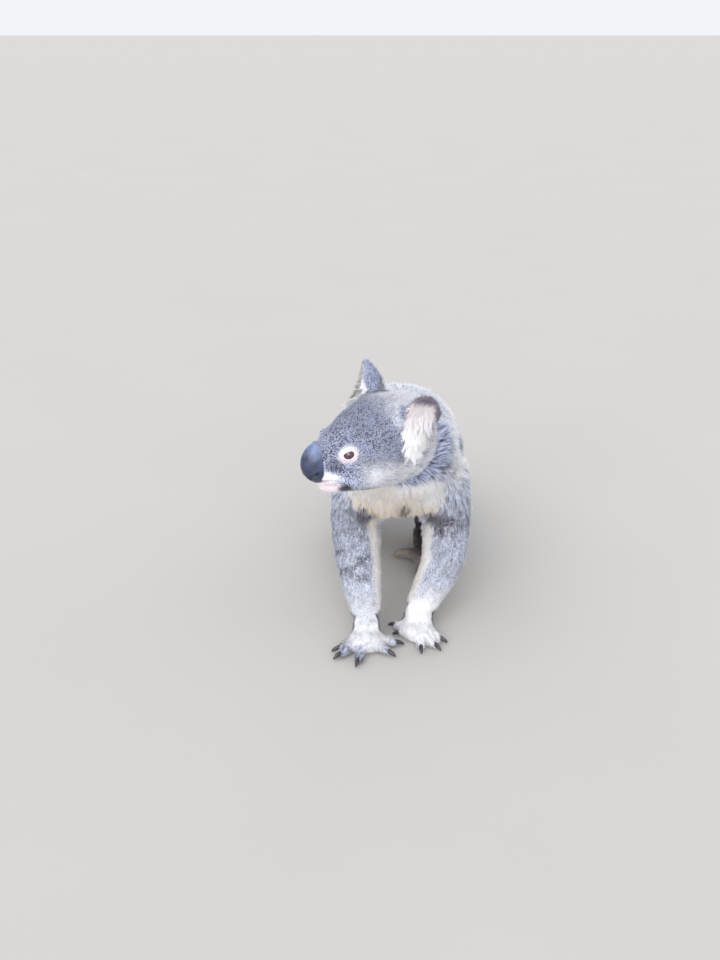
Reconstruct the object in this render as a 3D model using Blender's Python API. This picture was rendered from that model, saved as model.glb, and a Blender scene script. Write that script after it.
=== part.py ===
"""A koala, life size, standing on all fours with its head turned to its right.

The flesh is lofted from stations, fused into one body, and parted at the joints by thin plane cuts.
Lengths in the tables are in millimetres. The animal faces -Y, its left side is +X, and the floor is z = 0.
"""

import math

import bmesh
import bpy
from mathutils import Matrix, Vector

MM = 0.001
GAP = 0.3  # between neighbouring pieces
BODY_TRIANGLES = 3700  # of the fused body, before it is parted
RING_SIDES = 28
STEPS = 5  # rings between two stations

# Stations of the trunk, from the chest's front to the rump: x, y, height of the widest point, half-width,
# reach up and reach down
TRUNK = (
    (-2, -184, 228, 18, 18, 18),
    (-2, -176, 228, 46, 40, 44),
    (-2, -156, 224, 68, 66, 62),
    (-2, -126, 215, 77, 78, 62),
    (-2, -88, 204, 82, 90, 70),
    (-1, -40, 193, 87, 98, 82),
    (2, 10, 184, 91, 101, 84),
    (5, 60, 174, 92, 94, 81),
    (8, 110, 162, 91, 87, 74),
    (11, 150, 152, 84, 77, 66),
    (13, 180, 146, 67, 58, 54),
    (14, 199, 142, 40, 34, 34),
    (14, 207, 140, 13, 12, 12),
)

# Stations of the neck: x, y, z, half-width, reach forward and up, reach back and down
NECK = (
    (2, -90, 214, 72, 60, 60),
    (1, -124, 236, 76, 60, 68),
    (0, -158, 260, 71, 56, 66),
    (-3, -190, 285, 62, 46, 56),
)

# The head's own frame: x forward to the nose, y to its left, z up, with its origin between the ears
HEAD_PLACE = (-4, -220, 312)
HEAD_YAW = 62  # turned from straight ahead towards its right, degrees
HEAD_PITCH = 1  # nose down, degrees
HEAD_ROLL = 3  # right ear up, degrees
# Stations of the head: x forward, height of the widest point, half-width, reach up, reach down
HEAD = (
    (-40, -2, 10, 10, 10),
    (-33, -4, 36, 34, 30),
    (-17, -8, 51, 49, 40),
    (0, -12, 58, 56, 44),
    (20, -16, 61, 58, 43),
    (40, -20, 60, 57, 39),
    (58, -23, 53, 52, 36),
    (74, -26, 42, 46, 33),
    (88, -28, 31, 39, 32),
    (98, -29, 24.5, 34, 30),
    (105, -31, 15, 25, 22),
    (108, -32, 8, 14, 12),
)
NOSE = {"centre": (100, 0, -20.5), "reach": (24, 17, 25), "lean": -4}
EYE = {"centre": (79, 27, -3.6), "radius": 8}
# Each ear: its middle, size, turn outwards and lean back in degrees, and how far it narrows and moves
# forwards towards its tip
EARS = {
    "left": {"centre": (5, 59, 43), "half_width": 23.5, "half_height": 26, "turn": 66, "lean": 14,
             "narrowing": 0, "forwards": 0},
    "right": {"centre": (4, 59, 43), "half_width": 28, "half_height": 29, "turn": 72, "lean": 14,
              "narrowing": 0.75, "forwards": 9},
}
EAR_THICKNESS = 8
EAR_DISH = 6
EAR_CUT = {"point": (0, 47, 22), "normal": (0, 0.6, 0.8)}
# Where each limb is cut from the trunk: a point of the cut at the middle of its height, the direction
# outwards, half its height, its front and back ends, and the depth of the walls at those ends. Both sides
# count outwards from x = 0.
LIMB_CUTS = {
    "arm_left": ((62, 189), (0.877, -0.48), 82, (-214, -66), 62),
    "arm_right": ((58, 189), (0.877, -0.48), 82, (-214, -66), 62),
    "leg_left": ((72, 150), (0.888, -0.46), 84, (-26, 172), 66),
    "leg_right": ((60, 150), (0.888, -0.46), 84, (-26, 172), 66),
}
MOUTH = {"corner": 74, "line": -46, "front": 140, "half_width": 60, "below": -90}

SIDES = {"left": 1, "right": -1}
# Joints of each arm: x, y, z
ARMS = {
    "left": {"shoulder": (58, -130, 226), "elbow": (64.5, -112, 134), "forearm": (60, -131, 88),
             "wrist": (31, -158, 34), "palm": (27, -181)},
    "right": {"shoulder": (-50, -132, 226), "elbow": (-56, -116, 134), "forearm": (-50, -143, 86),
              "wrist": (-41, -173, 34), "palm": (-41, -203)},
}
# Half-width, reach forward and reach back of the arm at each joint
SHOULDER_SIZE = (30, 40, 40)
UPPER_ARM_SIZE = (35.5, 37, 38)
ELBOW_SIZE = (35.5, 31, 32)
FOREARM_SIZE = (32, 27, 28)
WRIST_SIZE = (23, 18, 20)
PALM_REACH = (25, 26, 14)
PALM_HEIGHT = 12
# Fingers from the first to the fifth: angle outwards from straight ahead, reach from the palm's centre to the
# claw's tip
FINGERS = {
    "left": ((-122, 50), (-93, 38), (3, 47), (37, 49), (65, 45)),
    "right": ((-91, 53), (-54, 50), (15, 55), (52, 57), (71, 51)),
}
FINGER_RADIUS = 7.6

# Joints of each hind leg: x, y, z
LEGS = {
    "left": {"hip": (60, 112, 158), "knee": (82, 26, 92), "ankle": (50, 92, 34),
             "heel": (50, 96), "ball": (46, 12), "heading": -4},
    "right": {"hip": (-46, 120, 158), "knee": (-60, 42, 92), "ankle": (-60, 112, 34),
              "heel": (-62, 116), "ball": (-66, 36), "heading": -16},
}
HIP_SIZE = (44, 52, 50)
THIGH_SIZE = (38, 45, 46)
KNEE_SIZE = (29, 31, 32)
SHIN_SIZE = (24, 25, 28)
ANKLE_SIZE = (20, 19, 21)
HEEL_SIZE = (19, 17, 18)
BALL_SIZE = (23, 13, 15)
# Toes: angle outwards from the heading, reach from the ball to the end, radius. The first has no claw.
TOES = ((-100, 49, 10), (-14, 50, 6.6), (-1, 51, 6.6), (16, 55, 8.2), (36, 50, 8))
CLAW = {"length": 15, "radius": 3.1, "curl": 5.5, "root": 6, "sides": 5, "rings": 3}
SINK = 1.6  # how far the pads are pressed below the floor before they are cut flat

# Name, colour, roughness of each finish
FINISHES = {
    "coat": ((0.36, 0.36, 0.38), 0.9),
    "nose": ((0.03, 0.03, 0.04), 0.45),
    "eye": ((0.12, 0.05, 0.03), 0.08),
    "claw": ((0.03, 0.028, 0.03), 0.35),
}


def finish(name):
    """The named material, made the first time that it is asked for."""
    material = bpy.data.materials.get(name)
    if material is None:
        colour, roughness = FINISHES[name]
        material = bpy.data.materials.new(name)
        material.use_nodes = True
        shader = material.node_tree.nodes["Principled BSDF"]
        shader.inputs["Base Color"].default_value = (*colour, 1)
        shader.inputs["Roughness"].default_value = roughness
        shader.inputs["Metallic"].default_value = 0
    return material


def head_frame():
    """The matrix from the head's frame to the world, in millimetres."""
    turn = Matrix.Rotation(math.radians(-90 - HEAD_YAW), 4, "Z")
    nod = Matrix.Rotation(math.radians(HEAD_PITCH), 4, "Y")
    roll = Matrix.Rotation(math.radians(-HEAD_ROLL), 4, "X")
    return Matrix.Translation(HEAD_PLACE) @ turn @ nod @ roll


def smooth_rows(rows, steps=STEPS):
    """Rows of numbers on a Catmull-Rom curve through the given rows."""
    rows = [list(map(float, row)) for row in rows]
    ends = [rows[0]] + rows + [rows[-1]]
    made = []
    for before, start, end, after in zip(ends, ends[1:], ends[2:], ends[3:]):
        for step in range(steps):
            t = step / steps
            made.append([
                0.5 * (2 * b + (c - a) * t + (2 * a - 5 * b + 4 * c - d) * t * t
                       + (3 * b - a - 3 * c + d) * t**3)
                for a, b, c, d in zip(before, start, end, after)
            ])
    return made + [rows[-1]]


def ring(bm, centre, side, up, sizes, fullness):
    """An oval of vertices: half-width along side, then its reach along up and against it."""
    half_width, above, below = sizes
    made = []
    for index in range(RING_SIDES):
        angle = 2 * math.pi * index / RING_SIDES
        across, rise = math.cos(angle), math.sin(angle)
        across = math.copysign(abs(across) ** (2 / fullness), across) * half_width
        rise = math.copysign(abs(rise) ** (2 / fullness), rise) * (above if rise > 0 else below)
        made.append(bm.verts.new(centre + side * across + up * rise))
    return made


def loft(rows, axis=None, top=(0, 0, 1), fullness=2.05, frame=None):
    """A closed form through stations of x, y, z, half-width, reach up and reach down.

    The rings stand square to axis, or to the path of the stations.
    """
    rows = smooth_rows(rows)
    points = [Vector(row[:3]) for row in rows]
    bm = bmesh.new()
    rings = []
    for index, row in enumerate(rows):
        along = axis or points[min(index + 1, len(points) - 1)] - points[max(index - 1, 0)]
        along = Vector(along).normalized()
        side = along.cross(Vector(top)).normalized()
        rings.append(ring(bm, points[index], side, side.cross(along), row[3:], fullness))
    for first, second in zip(rings, rings[1:]):
        for index in range(RING_SIDES):
            after = (index + 1) % RING_SIDES
            bm.faces.new((first[index], first[after], second[after], second[index]))
    bm.faces.new(rings[0][::-1])
    bm.faces.new(rings[-1])
    bmesh.ops.recalc_face_normals(bm, faces=bm.faces)
    if frame:
        bm.transform(frame)
    return bm


def ball(centre, reach, frame=None, segments=20):
    """An ellipsoid."""
    bm = bmesh.new()
    bmesh.ops.create_uvsphere(bm, u_segments=segments, v_segments=segments // 2, radius=1)
    bm.transform(Matrix.Translation(centre) @ Matrix.Diagonal((*reach, 1)))
    if frame:
        bm.transform(frame)
    return bm


def outwards(side, angle):
    """A direction on the floor, turned by an angle outwards from straight ahead."""
    turn = math.radians(angle) * SIDES[side]
    return Vector((math.sin(turn), -math.cos(turn), 0))


def ear(side):
    """A round ear with a dished face that looks forwards and outwards."""
    shape, sign = EARS[side], SIDES[side]
    bm = bmesh.new()
    bmesh.ops.create_uvsphere(bm, u_segments=24, v_segments=14, radius=1)
    bm.transform(Matrix.Rotation(math.radians(90), 4, "Y"))
    for vert in bm.verts:
        from_middle = min(1, math.hypot(vert.co.y, vert.co.z))
        dish = EAR_DISH * (1 - from_middle**2) if vert.co.x > 0 else 0
        thickness = EAR_THICKNESS * (1 if vert.co.x < 0 else 0.9)
        rise = (vert.co.z + 1) / 2
        across = vert.co.y * shape["half_width"] * (1 - shape["narrowing"] * rise)
        across -= shape["forwards"] * rise * sign
        vert.co = Vector((vert.co.x * thickness - dish, across, vert.co.z * shape["half_height"]))
    x, y, z = shape["centre"]
    turn = Matrix.Rotation(math.radians(shape["turn"] * sign), 4, "Z")
    lean = Matrix.Rotation(math.radians(shape["lean"]), 4, "Y")
    bm.transform(head_frame() @ Matrix.Translation((x, y * sign, z)) @ turn @ lean)
    return bm


def arm(side):
    """The arm from the shoulder to the wrist."""
    joints = ARMS[side]
    shoulder, elbow, wrist = (Vector(joints[name]) for name in ("shoulder", "elbow", "wrist"))
    palm = Vector((*joints["palm"], PALM_HEIGHT))
    return loft(
        (
            (*(shoulder + (shoulder - elbow) * 0.16), 16, 16, 18),
            (*shoulder, *SHOULDER_SIZE),
            (*shoulder.lerp(elbow, 0.5), *UPPER_ARM_SIZE),
            (*elbow, *ELBOW_SIZE),
            (*joints["forearm"], *FOREARM_SIZE),
            (*wrist, *WRIST_SIZE),
            (*wrist.lerp(palm, 0.6), *WRIST_SIZE),
        ),
        top=(0, -1, 0),
    )


def digit(base, end, radius, arch=2.5):
    """A finger or toe, a little arched, from its base to its rounded end."""
    middle = base.lerp(end, 0.5) + Vector((0, 0, arch))
    along = (end - base).normalized()
    return loft(
        (
            (*base, radius, radius, radius),
            (*middle, radius, radius, radius),
            (*(end - along * radius * 0.8), radius * 0.96, radius * 0.9, radius * 0.9),
            (*(end - along * radius * 0.25), radius * 0.72, radius * 0.65, radius * 0.7),
            (*end, radius * 0.2, radius * 0.2, radius * 0.2),
        ),
        fullness=2,
    )


def fingers(side):
    """Base and end of each finger's flesh, and the direction that it points in."""
    palm = Vector((*ARMS[side]["palm"], PALM_HEIGHT - 1))
    for angle, reach in FINGERS[side]:
        along = outwards(side, angle)
        end = palm + along * (reach - CLAW["length"] + CLAW["root"] * 0.6)
        yield palm + along * 12, Vector((end.x, end.y, FINGER_RADIUS - SINK)), along, FINGER_RADIUS


def toes(side):
    """Base and end of each toe's flesh, and the direction that it points in."""
    joints = LEGS[side]
    sole = Vector((*joints["ball"], 11))
    for index, (angle, reach, radius) in enumerate(TOES):
        along = outwards(side, joints["heading"] + angle)
        claw = (CLAW["length"] - CLAW["root"] * 0.6) if index else 0
        back = Vector((0, 6, 0)) if index == 0 else Vector((0, 0, 0))
        end = sole + back + along * (reach - claw)
        yield sole + back + along * 8, Vector((end.x, end.y, radius - SINK)), along, radius


def hand(side):
    """The palm and the five fingers."""
    made = [ball((*ARMS[side]["palm"], PALM_HEIGHT), PALM_REACH)]
    return made + [digit(base, end, radius) for base, end, _, radius in fingers(side)]


def leg(side):
    """The hind leg from the hip to the ankle."""
    joints = LEGS[side]
    hip, knee, ankle = (Vector(joints[name]) for name in ("hip", "knee", "ankle"))
    thigh = loft(
        (
            (*(hip + (hip - knee) * 0.3), 16, 18, 18),
            (*hip, *HIP_SIZE),
            (*hip.lerp(knee, 0.5), *THIGH_SIZE),
            (*knee, *KNEE_SIZE),
            (*(knee + (knee - hip) * 0.18), 12, 13, 13),
        ),
        top=(0, -0.7, 0.7),
    )
    shin = loft(
        (
            (*(knee + (knee - ankle) * 0.2), 12, 13, 13),
            (*knee, *KNEE_SIZE),
            (*knee.lerp(ankle, 0.55), *SHIN_SIZE),
            (*ankle, *ANKLE_SIZE),
            (*(ankle + (ankle - knee) * 0.12), 12, 12, 12),
        ),
        top=(0, -0.7, -0.7),
    )
    return [thigh, shin]


def foot(side):
    """The sole from heel to ball, and the five toes."""
    joints = LEGS[side]
    heel, front = Vector((*joints["heel"], 15)), Vector((*joints["ball"], 12))
    along = (front - heel).normalized()
    sole = loft(
        (
            (*(heel - along * 16), 7, 6, 6),
            (*heel, *HEEL_SIZE),
            (*heel.lerp(front, 0.5), 20, 15, 16),
            (*front, *BALL_SIZE),
            (*(front + along * 14), 15, 9, 11),
            (*(front + along * 20), 5, 4, 4),
        ),
    )
    return [sole] + [digit(base, end, radius) for base, end, _, radius in toes(side)]


def head():
    """The skull with cheeks and muzzle, and both ears."""
    rows = [(x, 0, z, *sizes) for x, z, *sizes in HEAD]
    skull = loft(rows, axis=(-1, 0, 0), fullness=2.25, frame=head_frame())
    return [skull, ear("left"), ear("right")]


def scene_object(name, mesh, material):
    """A mesh as a named object of the scene."""
    thing = bpy.data.objects.new(name, mesh)
    mesh.materials.clear()
    mesh.materials.append(finish(material))
    bpy.context.scene.collection.objects.link(thing)
    return thing


def mesh_of(bm, name):
    mesh = bpy.data.meshes.new(name)
    bm.to_mesh(mesh)
    return mesh


def fuse(name, forms, voxel, passes):
    """Overlapping closed forms, in millimetres, as one smooth closed skin."""
    bm = bmesh.new()
    for form in forms:
        bm.from_mesh(form if isinstance(form, bpy.types.Mesh) else mesh_of(form, name))
    thing = bpy.data.objects.new(name, mesh_of(bm, name))
    bpy.context.scene.collection.objects.link(thing)
    remesh = thing.modifiers.new("one skin", "REMESH")
    remesh.mode = "VOXEL"
    remesh.voxel_size = voxel
    smooth = thing.modifiers.new("soften", "SMOOTH")
    smooth.factor = 0.5
    smooth.iterations = passes
    return applied(thing)


def applied(thing):
    """The object's mesh with its modifiers applied. The object itself is removed."""
    graph = bpy.context.evaluated_depsgraph_get()
    mesh = bpy.data.meshes.new_from_object(thing.evaluated_get(graph))
    bpy.data.objects.remove(thing)
    return mesh


def fewer_triangles(mesh, wanted):
    """The mesh collapsed to about the wanted number of triangles, most where it bends most."""
    thing = bpy.data.objects.new("fewer", mesh)
    bpy.context.scene.collection.objects.link(thing)
    thing.modifiers.new("triangles", "TRIANGULATE")
    collapse = thing.modifiers.new("collapse", "DECIMATE")
    collapse.ratio = wanted / (2 * len(mesh.polygons))
    return applied(thing)


def body_mesh():
    """The whole coat's outer surface in metres, cut flat at the floor."""
    large = [loft(TRUNK, axis=(0, 1, 0)), loft(NECK)]
    for side in SIDES:
        large += [arm(side), *leg(side)]
    skull = head()
    core = fuse("core", [*large, skull[0]], 4.5, 16)
    small = skull
    for side in SIDES:
        small += [*hand(side), *foot(side)]
    body = pieces(from_mesh(fewer_triangles(fuse("body", [core, *small], 2.4, 4), BODY_TRIANGLES)))[0]
    body.transform(Matrix.Scale(MM, 4))
    return mesh_of(body, "body")


def half(bm, point, normal):
    """The closed part of a solid that lies ahead of a plane, half a gap away from it."""
    made = bm.copy()
    bmesh.ops.bisect_plane(
        made,
        geom=[*made.verts, *made.edges, *made.faces],
        plane_co=Vector(point) * MM + normal * (GAP / 2 * MM),
        plane_no=normal,
        clear_inner=True,
    )
    edges = [edge for edge in made.edges if edge.is_boundary]
    caps = bmesh.ops.holes_fill(made, edges=edges, sides=0)["faces"]
    bmesh.ops.triangulate(made, faces=caps)
    return made


def part(bm, point, normal):
    """Both sides of a thin plane cut: the one ahead of it, then the one behind."""
    normal = Vector(normal).normalized()
    return half(bm, point, normal), half(bm, point, -normal)


def limb_cut(side, place, outwards, half_height, ends, depth):
    """A thin cut, as thick as the gap, up the side of the trunk, with a wall outwards at each end."""
    sign = SIDES[side]
    normal = Vector((outwards[0] * sign, 0, outwards[1])).normalized()
    rise = normal.cross((0, 1, 0)).normalized()
    half_gap = GAP / 2
    front, back = ends
    outline = (
        (front - half_gap, depth), (front - half_gap, -half_gap),
        (back + half_gap, -half_gap), (back + half_gap, depth),
        (back - half_gap, depth), (back - half_gap, half_gap),
        (front + half_gap, half_gap), (front + half_gap, depth),
    )
    bm = bmesh.new()
    rings = [
        [
            bm.verts.new(Vector((place[0] * sign, y, place[1])) + normal * out + rise * height)
            for y, out in outline
        ]
        for height in (-half_height, half_height)
    ]
    for index in range(len(outline)):
        after = (index + 1) % len(outline)
        bm.faces.new((rings[0][index], rings[0][after], rings[1][after], rings[1][index]))
    for corners in ((0, 1, 6, 7), (1, 2, 5, 6), (2, 3, 4, 5)):
        for around in rings:
            bm.faces.new([around[corner] for corner in corners])
    bmesh.ops.recalc_face_normals(bm, faces=bm.faces)
    bm.transform(Matrix.Scale(MM, 4))
    return bm


def pieces(bm):
    """The separate closed pieces of a mesh, the largest first."""
    left, made = set(bm.verts), []
    while left:
        island, edge = set(), [next(iter(left))]
        while edge:
            vert = edge.pop()
            if vert in island:
                continue
            island.add(vert)
            edge += [link.other_vert(vert) for link in vert.link_edges]
        left -= island
        piece = bm.copy()
        piece.verts.ensure_lookup_table()
        indices = {vert.index for vert in island}
        bmesh.ops.delete(piece, geom=[v for v in piece.verts if v.index not in indices], context="VERTS")
        made.append(piece)
    return sorted(made, key=lambda piece: -len(piece.verts))


def part_limbs(body):
    """The trunk with the head, and each limb by its name, parted by thin cuts at the shoulders and hips."""
    whole, _ = part(from_mesh(body), (0, 0, GAP / -2), (0, 0, 1))
    thing = scene_object("whole", mesh_of(whole, "whole"), "coat")
    for name, cut in LIMB_CUTS.items():
        cut_away(thing, [limb_cut(name.rpartition("_")[2], *cut)], f"{name}_cut")
    trunk, *limbs = pieces(from_mesh(applied(thing)))
    found = {}
    for limb in limbs:
        middle = sum((vert.co for vert in limb.verts), Vector()) / len(limb.verts)
        side = "left" if middle.x > 0 else "right"
        found[f"{'arm' if middle.y < 0 else 'leg'}_{side}"] = limb
    return trunk, found


def from_mesh(mesh):
    bm = bmesh.new()
    bm.from_mesh(mesh)
    bm.verts.index_update()
    return bm


def limb_parts(limb, names, cuts):
    """A limb parted from its top down."""
    made = {}
    for name, (point, normal) in zip(names, cuts):
        limb, made[name] = part(limb, point, normal)
    made[names[-1]] = limb
    return made


def flesh_parts(body):
    """The body's named pieces."""
    trunk, limbs = part_limbs(body)
    made = {}
    front, rear = part(trunk, (0, -48, 200), (0, -1, 0))
    face, made["chest"] = part(front, (0, -128, 240), (0, -0.72, 0.69))
    made["head"], made["neck"] = part(face, (0, -182, 276), (0, -0.76, 0.65))
    made["rump"], made["belly"] = part(rear, (0, 92, 150), (0, 1, 0))
    frame = head_frame()
    for side, sign in SIDES.items():
        x, y, z = EAR_CUT["point"]
        nx, ny, nz = EAR_CUT["normal"]
        normal = frame.to_3x3() @ Vector((nx, ny * sign, nz))
        made[f"ear_{side}"], made["head"] = part(made["head"], frame @ Vector((x, y * sign, z)), normal)
        joints = ARMS[side]
        elbow, wrist = Vector(joints["elbow"]), Vector(joints["wrist"])
        made |= limb_parts(
            limbs[f"arm_{side}"],
            (f"upper_arm_{side}", f"forearm_{side}", f"hand_{side}"),
            ((elbow, wrist - elbow), (wrist, wrist - elbow)),
        )
        joints = LEGS[side]
        knee, ankle = Vector(joints["knee"]), Vector(joints["ankle"])
        made |= limb_parts(
            limbs[f"leg_{side}"],
            (f"thigh_{side}", f"shin_{side}", f"foot_{side}"),
            ((knee, Vector((0, -0.25, -1))), (ankle - Vector((0, 0, 3)), Vector((0, -0.35, -1)))),
        )
    return made


def claw(end, along, radius, grow=0):
    """A curved horn from inside a digit's end to its point, which stays clear of the floor."""
    bm = bmesh.new()
    root = end - along * CLAW["root"] + Vector((0, 0, radius * 0.35))
    side = along.cross(Vector((0, 0, 1)))
    rings = []
    for index in range(CLAW["rings"]):
        share = index / CLAW["rings"]
        angle = math.radians(12 + 42 * share)
        centre = root + along * CLAW["length"] * share + Vector((0, 0, -CLAW["curl"] * share * share))
        up = Vector((0, 0, 1)) * math.cos(angle) + along * math.sin(angle)
        size = CLAW["radius"] * (1 - 0.62 * share) + grow
        if index == 0:
            centre -= along * grow
        rings.append([
            bm.verts.new(centre + side * math.cos(turn) * size * 0.8 + up * math.sin(turn) * size)
            for turn in (2 * math.pi * corner / CLAW["sides"] for corner in range(CLAW["sides"]))
        ])
    tip = bm.verts.new(root + along * (CLAW["length"] + grow) + Vector((0, 0, -CLAW["curl"] - 0.4)))
    for first, second in zip(rings, rings[1:]):
        for corner in range(CLAW["sides"]):
            after = (corner + 1) % CLAW["sides"]
            bm.faces.new((first[corner], first[after], second[after], second[corner]))
    for corner in range(CLAW["sides"]):
        bm.faces.new((rings[-1][corner], rings[-1][(corner + 1) % CLAW["sides"]], tip))
    bm.faces.new(rings[0][::-1])
    bmesh.ops.recalc_face_normals(bm, faces=bm.faces)
    bm.transform(Matrix.Scale(MM, 4))
    return bm


def cut_away(thing, forms, name):
    """Takes closed forms, in metres, out of an object."""
    bm = bmesh.new()
    for form in forms:
        bm.from_mesh(mesh_of(form, name))
    cutter = bpy.data.objects.new(name, mesh_of(bm, name))
    bpy.context.scene.collection.objects.link(cutter)
    cutter.hide_render = True
    cutter.display_type = "WIRE"
    boolean = thing.modifiers.new(name, "BOOLEAN")
    boolean.operation = "DIFFERENCE"
    boolean.object = cutter


def nose(grow=0):
    """The naked pad at the muzzle's end, its top leaning back."""
    x, y, z = NOSE["centre"]
    lean = Matrix.Rotation(math.radians(-NOSE["lean"]), 4, "Y")
    place = head_frame() @ Matrix.Translation((x, y, z)) @ lean
    bm = ball((0, 0, 0), [size + grow for size in NOSE["reach"]], place, 16)
    bm.transform(Matrix.Scale(MM, 4))
    return bm


def eyeball(side, grow=0):
    x, y, z = EYE["centre"]
    bm = ball((x, y * SIDES[side], z), [EYE["radius"] + grow] * 3, head_frame(), 14)
    bm.transform(Matrix.Scale(MM, 4))
    return bm


def jaw_block(grow):
    """The space below the mouth's line and ahead of its corner."""
    low = Vector((MOUTH["corner"] - grow, -MOUTH["half_width"], MOUTH["below"]))
    high = Vector((MOUTH["front"], MOUTH["half_width"], MOUTH["line"] + grow))
    bm = bmesh.new()
    bmesh.ops.create_cube(bm, size=1)
    middle, size = (low + high) / 2, high - low
    bm.transform(head_frame() @ Matrix.Translation(middle) @ Matrix.Diagonal((*size, 1)))
    bm.transform(Matrix.Scale(MM, 4))
    return bm


def add_face(things):
    """The jaw, nose and eyes, each in a close fit in the head."""
    head_piece = things["head"]
    jaw = scene_object("jaw", head_piece.data.copy(), "coat")
    block = scene_object("jaw_space", mesh_of(jaw_block(-GAP), "jaw_space"), "coat")
    block.hide_render = True
    block.display_type = "WIRE"
    keep = jaw.modifiers.new("jaw_space", "BOOLEAN")
    keep.operation = "INTERSECT"
    keep.object = block
    cut_away(jaw, [nose(GAP)], "nose_on_jaw")
    cut_away(head_piece, [jaw_block(0)], "jaw_cut")
    cut_away(head_piece, [nose(GAP)], "nose_cut")
    cut_away(head_piece, [eyeball(side, GAP) for side in SIDES], "eye_sockets")
    scene_object("nose", mesh_of(nose(), "nose"), "nose").data.shade_smooth()
    for side in SIDES:
        scene_object(f"eye_{side}", mesh_of(eyeball(side), f"eye_{side}"), "eye").data.shade_smooth()


def add_claws(things):
    """A claw on each finger, and on each toe but the first."""
    for side in SIDES:
        for piece, digits in (("hand", list(fingers(side))), ("foot", list(toes(side))[1:])):
            beds = [claw(end, along, r, GAP) for _, end, along, r in digits]
            cut_away(things[f"{piece}_{side}"], beds, f"{piece}_{side}_beds")
            first = 1 if piece == "hand" else 2
            for number, (_, end, along, radius) in enumerate(digits, first):
                name = f"claw_{piece}_{side}_{number}"
                scene_object(name, mesh_of(claw(end, along, radius), name), "claw")


def stand_at_origin():
    """Moves everything along the floor until the middle of the animal's outline lies at the origin."""
    bpy.context.view_layer.update()
    corners = [
        thing.matrix_world @ Vector(corner)
        for thing in bpy.data.objects
        if not thing.hide_render
        for corner in thing.bound_box
    ]
    for axis in range(2):
        places = [corner[axis] for corner in corners]
        for thing in bpy.data.objects:
            thing.location[axis] -= (min(places) + max(places)) / 2


def main():
    for thing in list(bpy.data.objects):
        bpy.data.objects.remove(thing)
    things = {}
    for name, bm in flesh_parts(body_mesh()).items():
        things[name] = scene_object(name, mesh_of(bm, name), "coat")
    add_face(things)
    add_claws(things)
    stand_at_origin()


main()
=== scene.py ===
import math

import bmesh
import bpy
import numpy as np
from mathutils import Matrix, Vector
from mathutils.bvhtree import BVHTree
from mathutils.kdtree import KDTree


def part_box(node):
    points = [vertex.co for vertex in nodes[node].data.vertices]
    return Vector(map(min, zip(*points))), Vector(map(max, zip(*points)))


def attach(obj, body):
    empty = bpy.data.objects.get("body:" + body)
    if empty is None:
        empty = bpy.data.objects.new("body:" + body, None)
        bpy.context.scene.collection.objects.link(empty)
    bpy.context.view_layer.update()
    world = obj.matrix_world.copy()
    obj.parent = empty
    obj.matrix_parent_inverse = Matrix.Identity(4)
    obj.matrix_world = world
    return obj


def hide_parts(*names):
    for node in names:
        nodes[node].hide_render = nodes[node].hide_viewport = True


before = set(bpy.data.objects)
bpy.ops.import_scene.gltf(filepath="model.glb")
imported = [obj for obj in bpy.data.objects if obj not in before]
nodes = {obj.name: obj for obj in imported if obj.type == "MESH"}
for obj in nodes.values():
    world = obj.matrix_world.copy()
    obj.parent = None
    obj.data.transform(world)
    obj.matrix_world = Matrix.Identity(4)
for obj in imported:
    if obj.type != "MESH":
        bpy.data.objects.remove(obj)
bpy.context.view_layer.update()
sides = {"left": 1, "right": -1}
faceParts = ("head", "jaw", "nose", "eye")
trunkParts = ("neck", "chest", "belly", "rump")
armParts = ("upper_arm", "forearm")
print("frame loaded:", len(nodes), "nodes")

# The head's own axes: x forward to the nose, y to its left, z up. Places on it are given in millimetres.
headSetup = {"place": (-0.00155, -0.177124, 0.312), "yaw": -152, "pitch": 1, "roll": -3}
headAxes = np.array(
    Matrix.Rotation(math.radians(headSetup["yaw"]), 3, "Z")
    @ Matrix.Rotation(math.radians(headSetup["pitch"]), 3, "Y")
    @ Matrix.Rotation(math.radians(headSetup["roll"]), 3, "X")
)


def toHead(points):
    return (points - np.array(headSetup["place"])) @ headAxes * 1000


def fromHead(points):
    return np.asarray(points, float) / 1000 @ headAxes.T + np.array(headSetup["place"])


def unit(vectors):
    return vectors / np.maximum(np.linalg.norm(vectors, axis=-1, keepdims=True), 1e-12)


def flat(vectors, normals):
    return unit(vectors - (vectors * normals).sum(1, keepdims=True) * normals)


def ease(values, start, end):
    t = np.clip((values - start) / (end - start), 0, 1)
    return t * t * (3 - 2 * t)


def fade(values, start, end):
    return 1 - ease(values, start, end)


def bell(values, width):
    return np.exp(-((values / width) ** 2))


def patch(points, middle, reach, start, end):
    # 1 inside an ellipsoid and 0 outside it, with a soft edge.
    return fade(np.linalg.norm((points - np.array(middle)) / reach, axis=1), start, end)


def linear(*rgb):
    return tuple((c / 255 / 12.92) if c / 255 <= 0.04045 else ((c / 255 + 0.055) / 1.055) ** 2.4 for c in rgb)


def link(name, mesh):
    thing = bpy.data.objects.new(name, mesh)
    bpy.context.scene.collection.objects.link(thing)
    return thing


def applied(thing):
    # The object's mesh with its modifiers made real.
    bpy.context.view_layer.update()
    graph = bpy.context.evaluated_depsgraph_get()
    mesh = bpy.data.meshes.new_from_object(thing.evaluated_get(graph))
    thing.modifiers.clear()
    old = thing.data
    thing.data = mesh
    bpy.data.meshes.remove(old)
    return mesh


def meshOf(bm, label):
    # The mesh of a bmesh, which is freed.
    mesh = bpy.data.meshes.new(label)
    bm.to_mesh(mesh)
    bm.free()
    return mesh


def mergedCopy(names, label):
    bm = bmesh.new()
    for name in names:
        bm.from_mesh(nodes[name].data)
    bmesh.ops.remove_doubles(bm, verts=bm.verts, dist=1e-6)
    return meshOf(bm, label)


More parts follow.
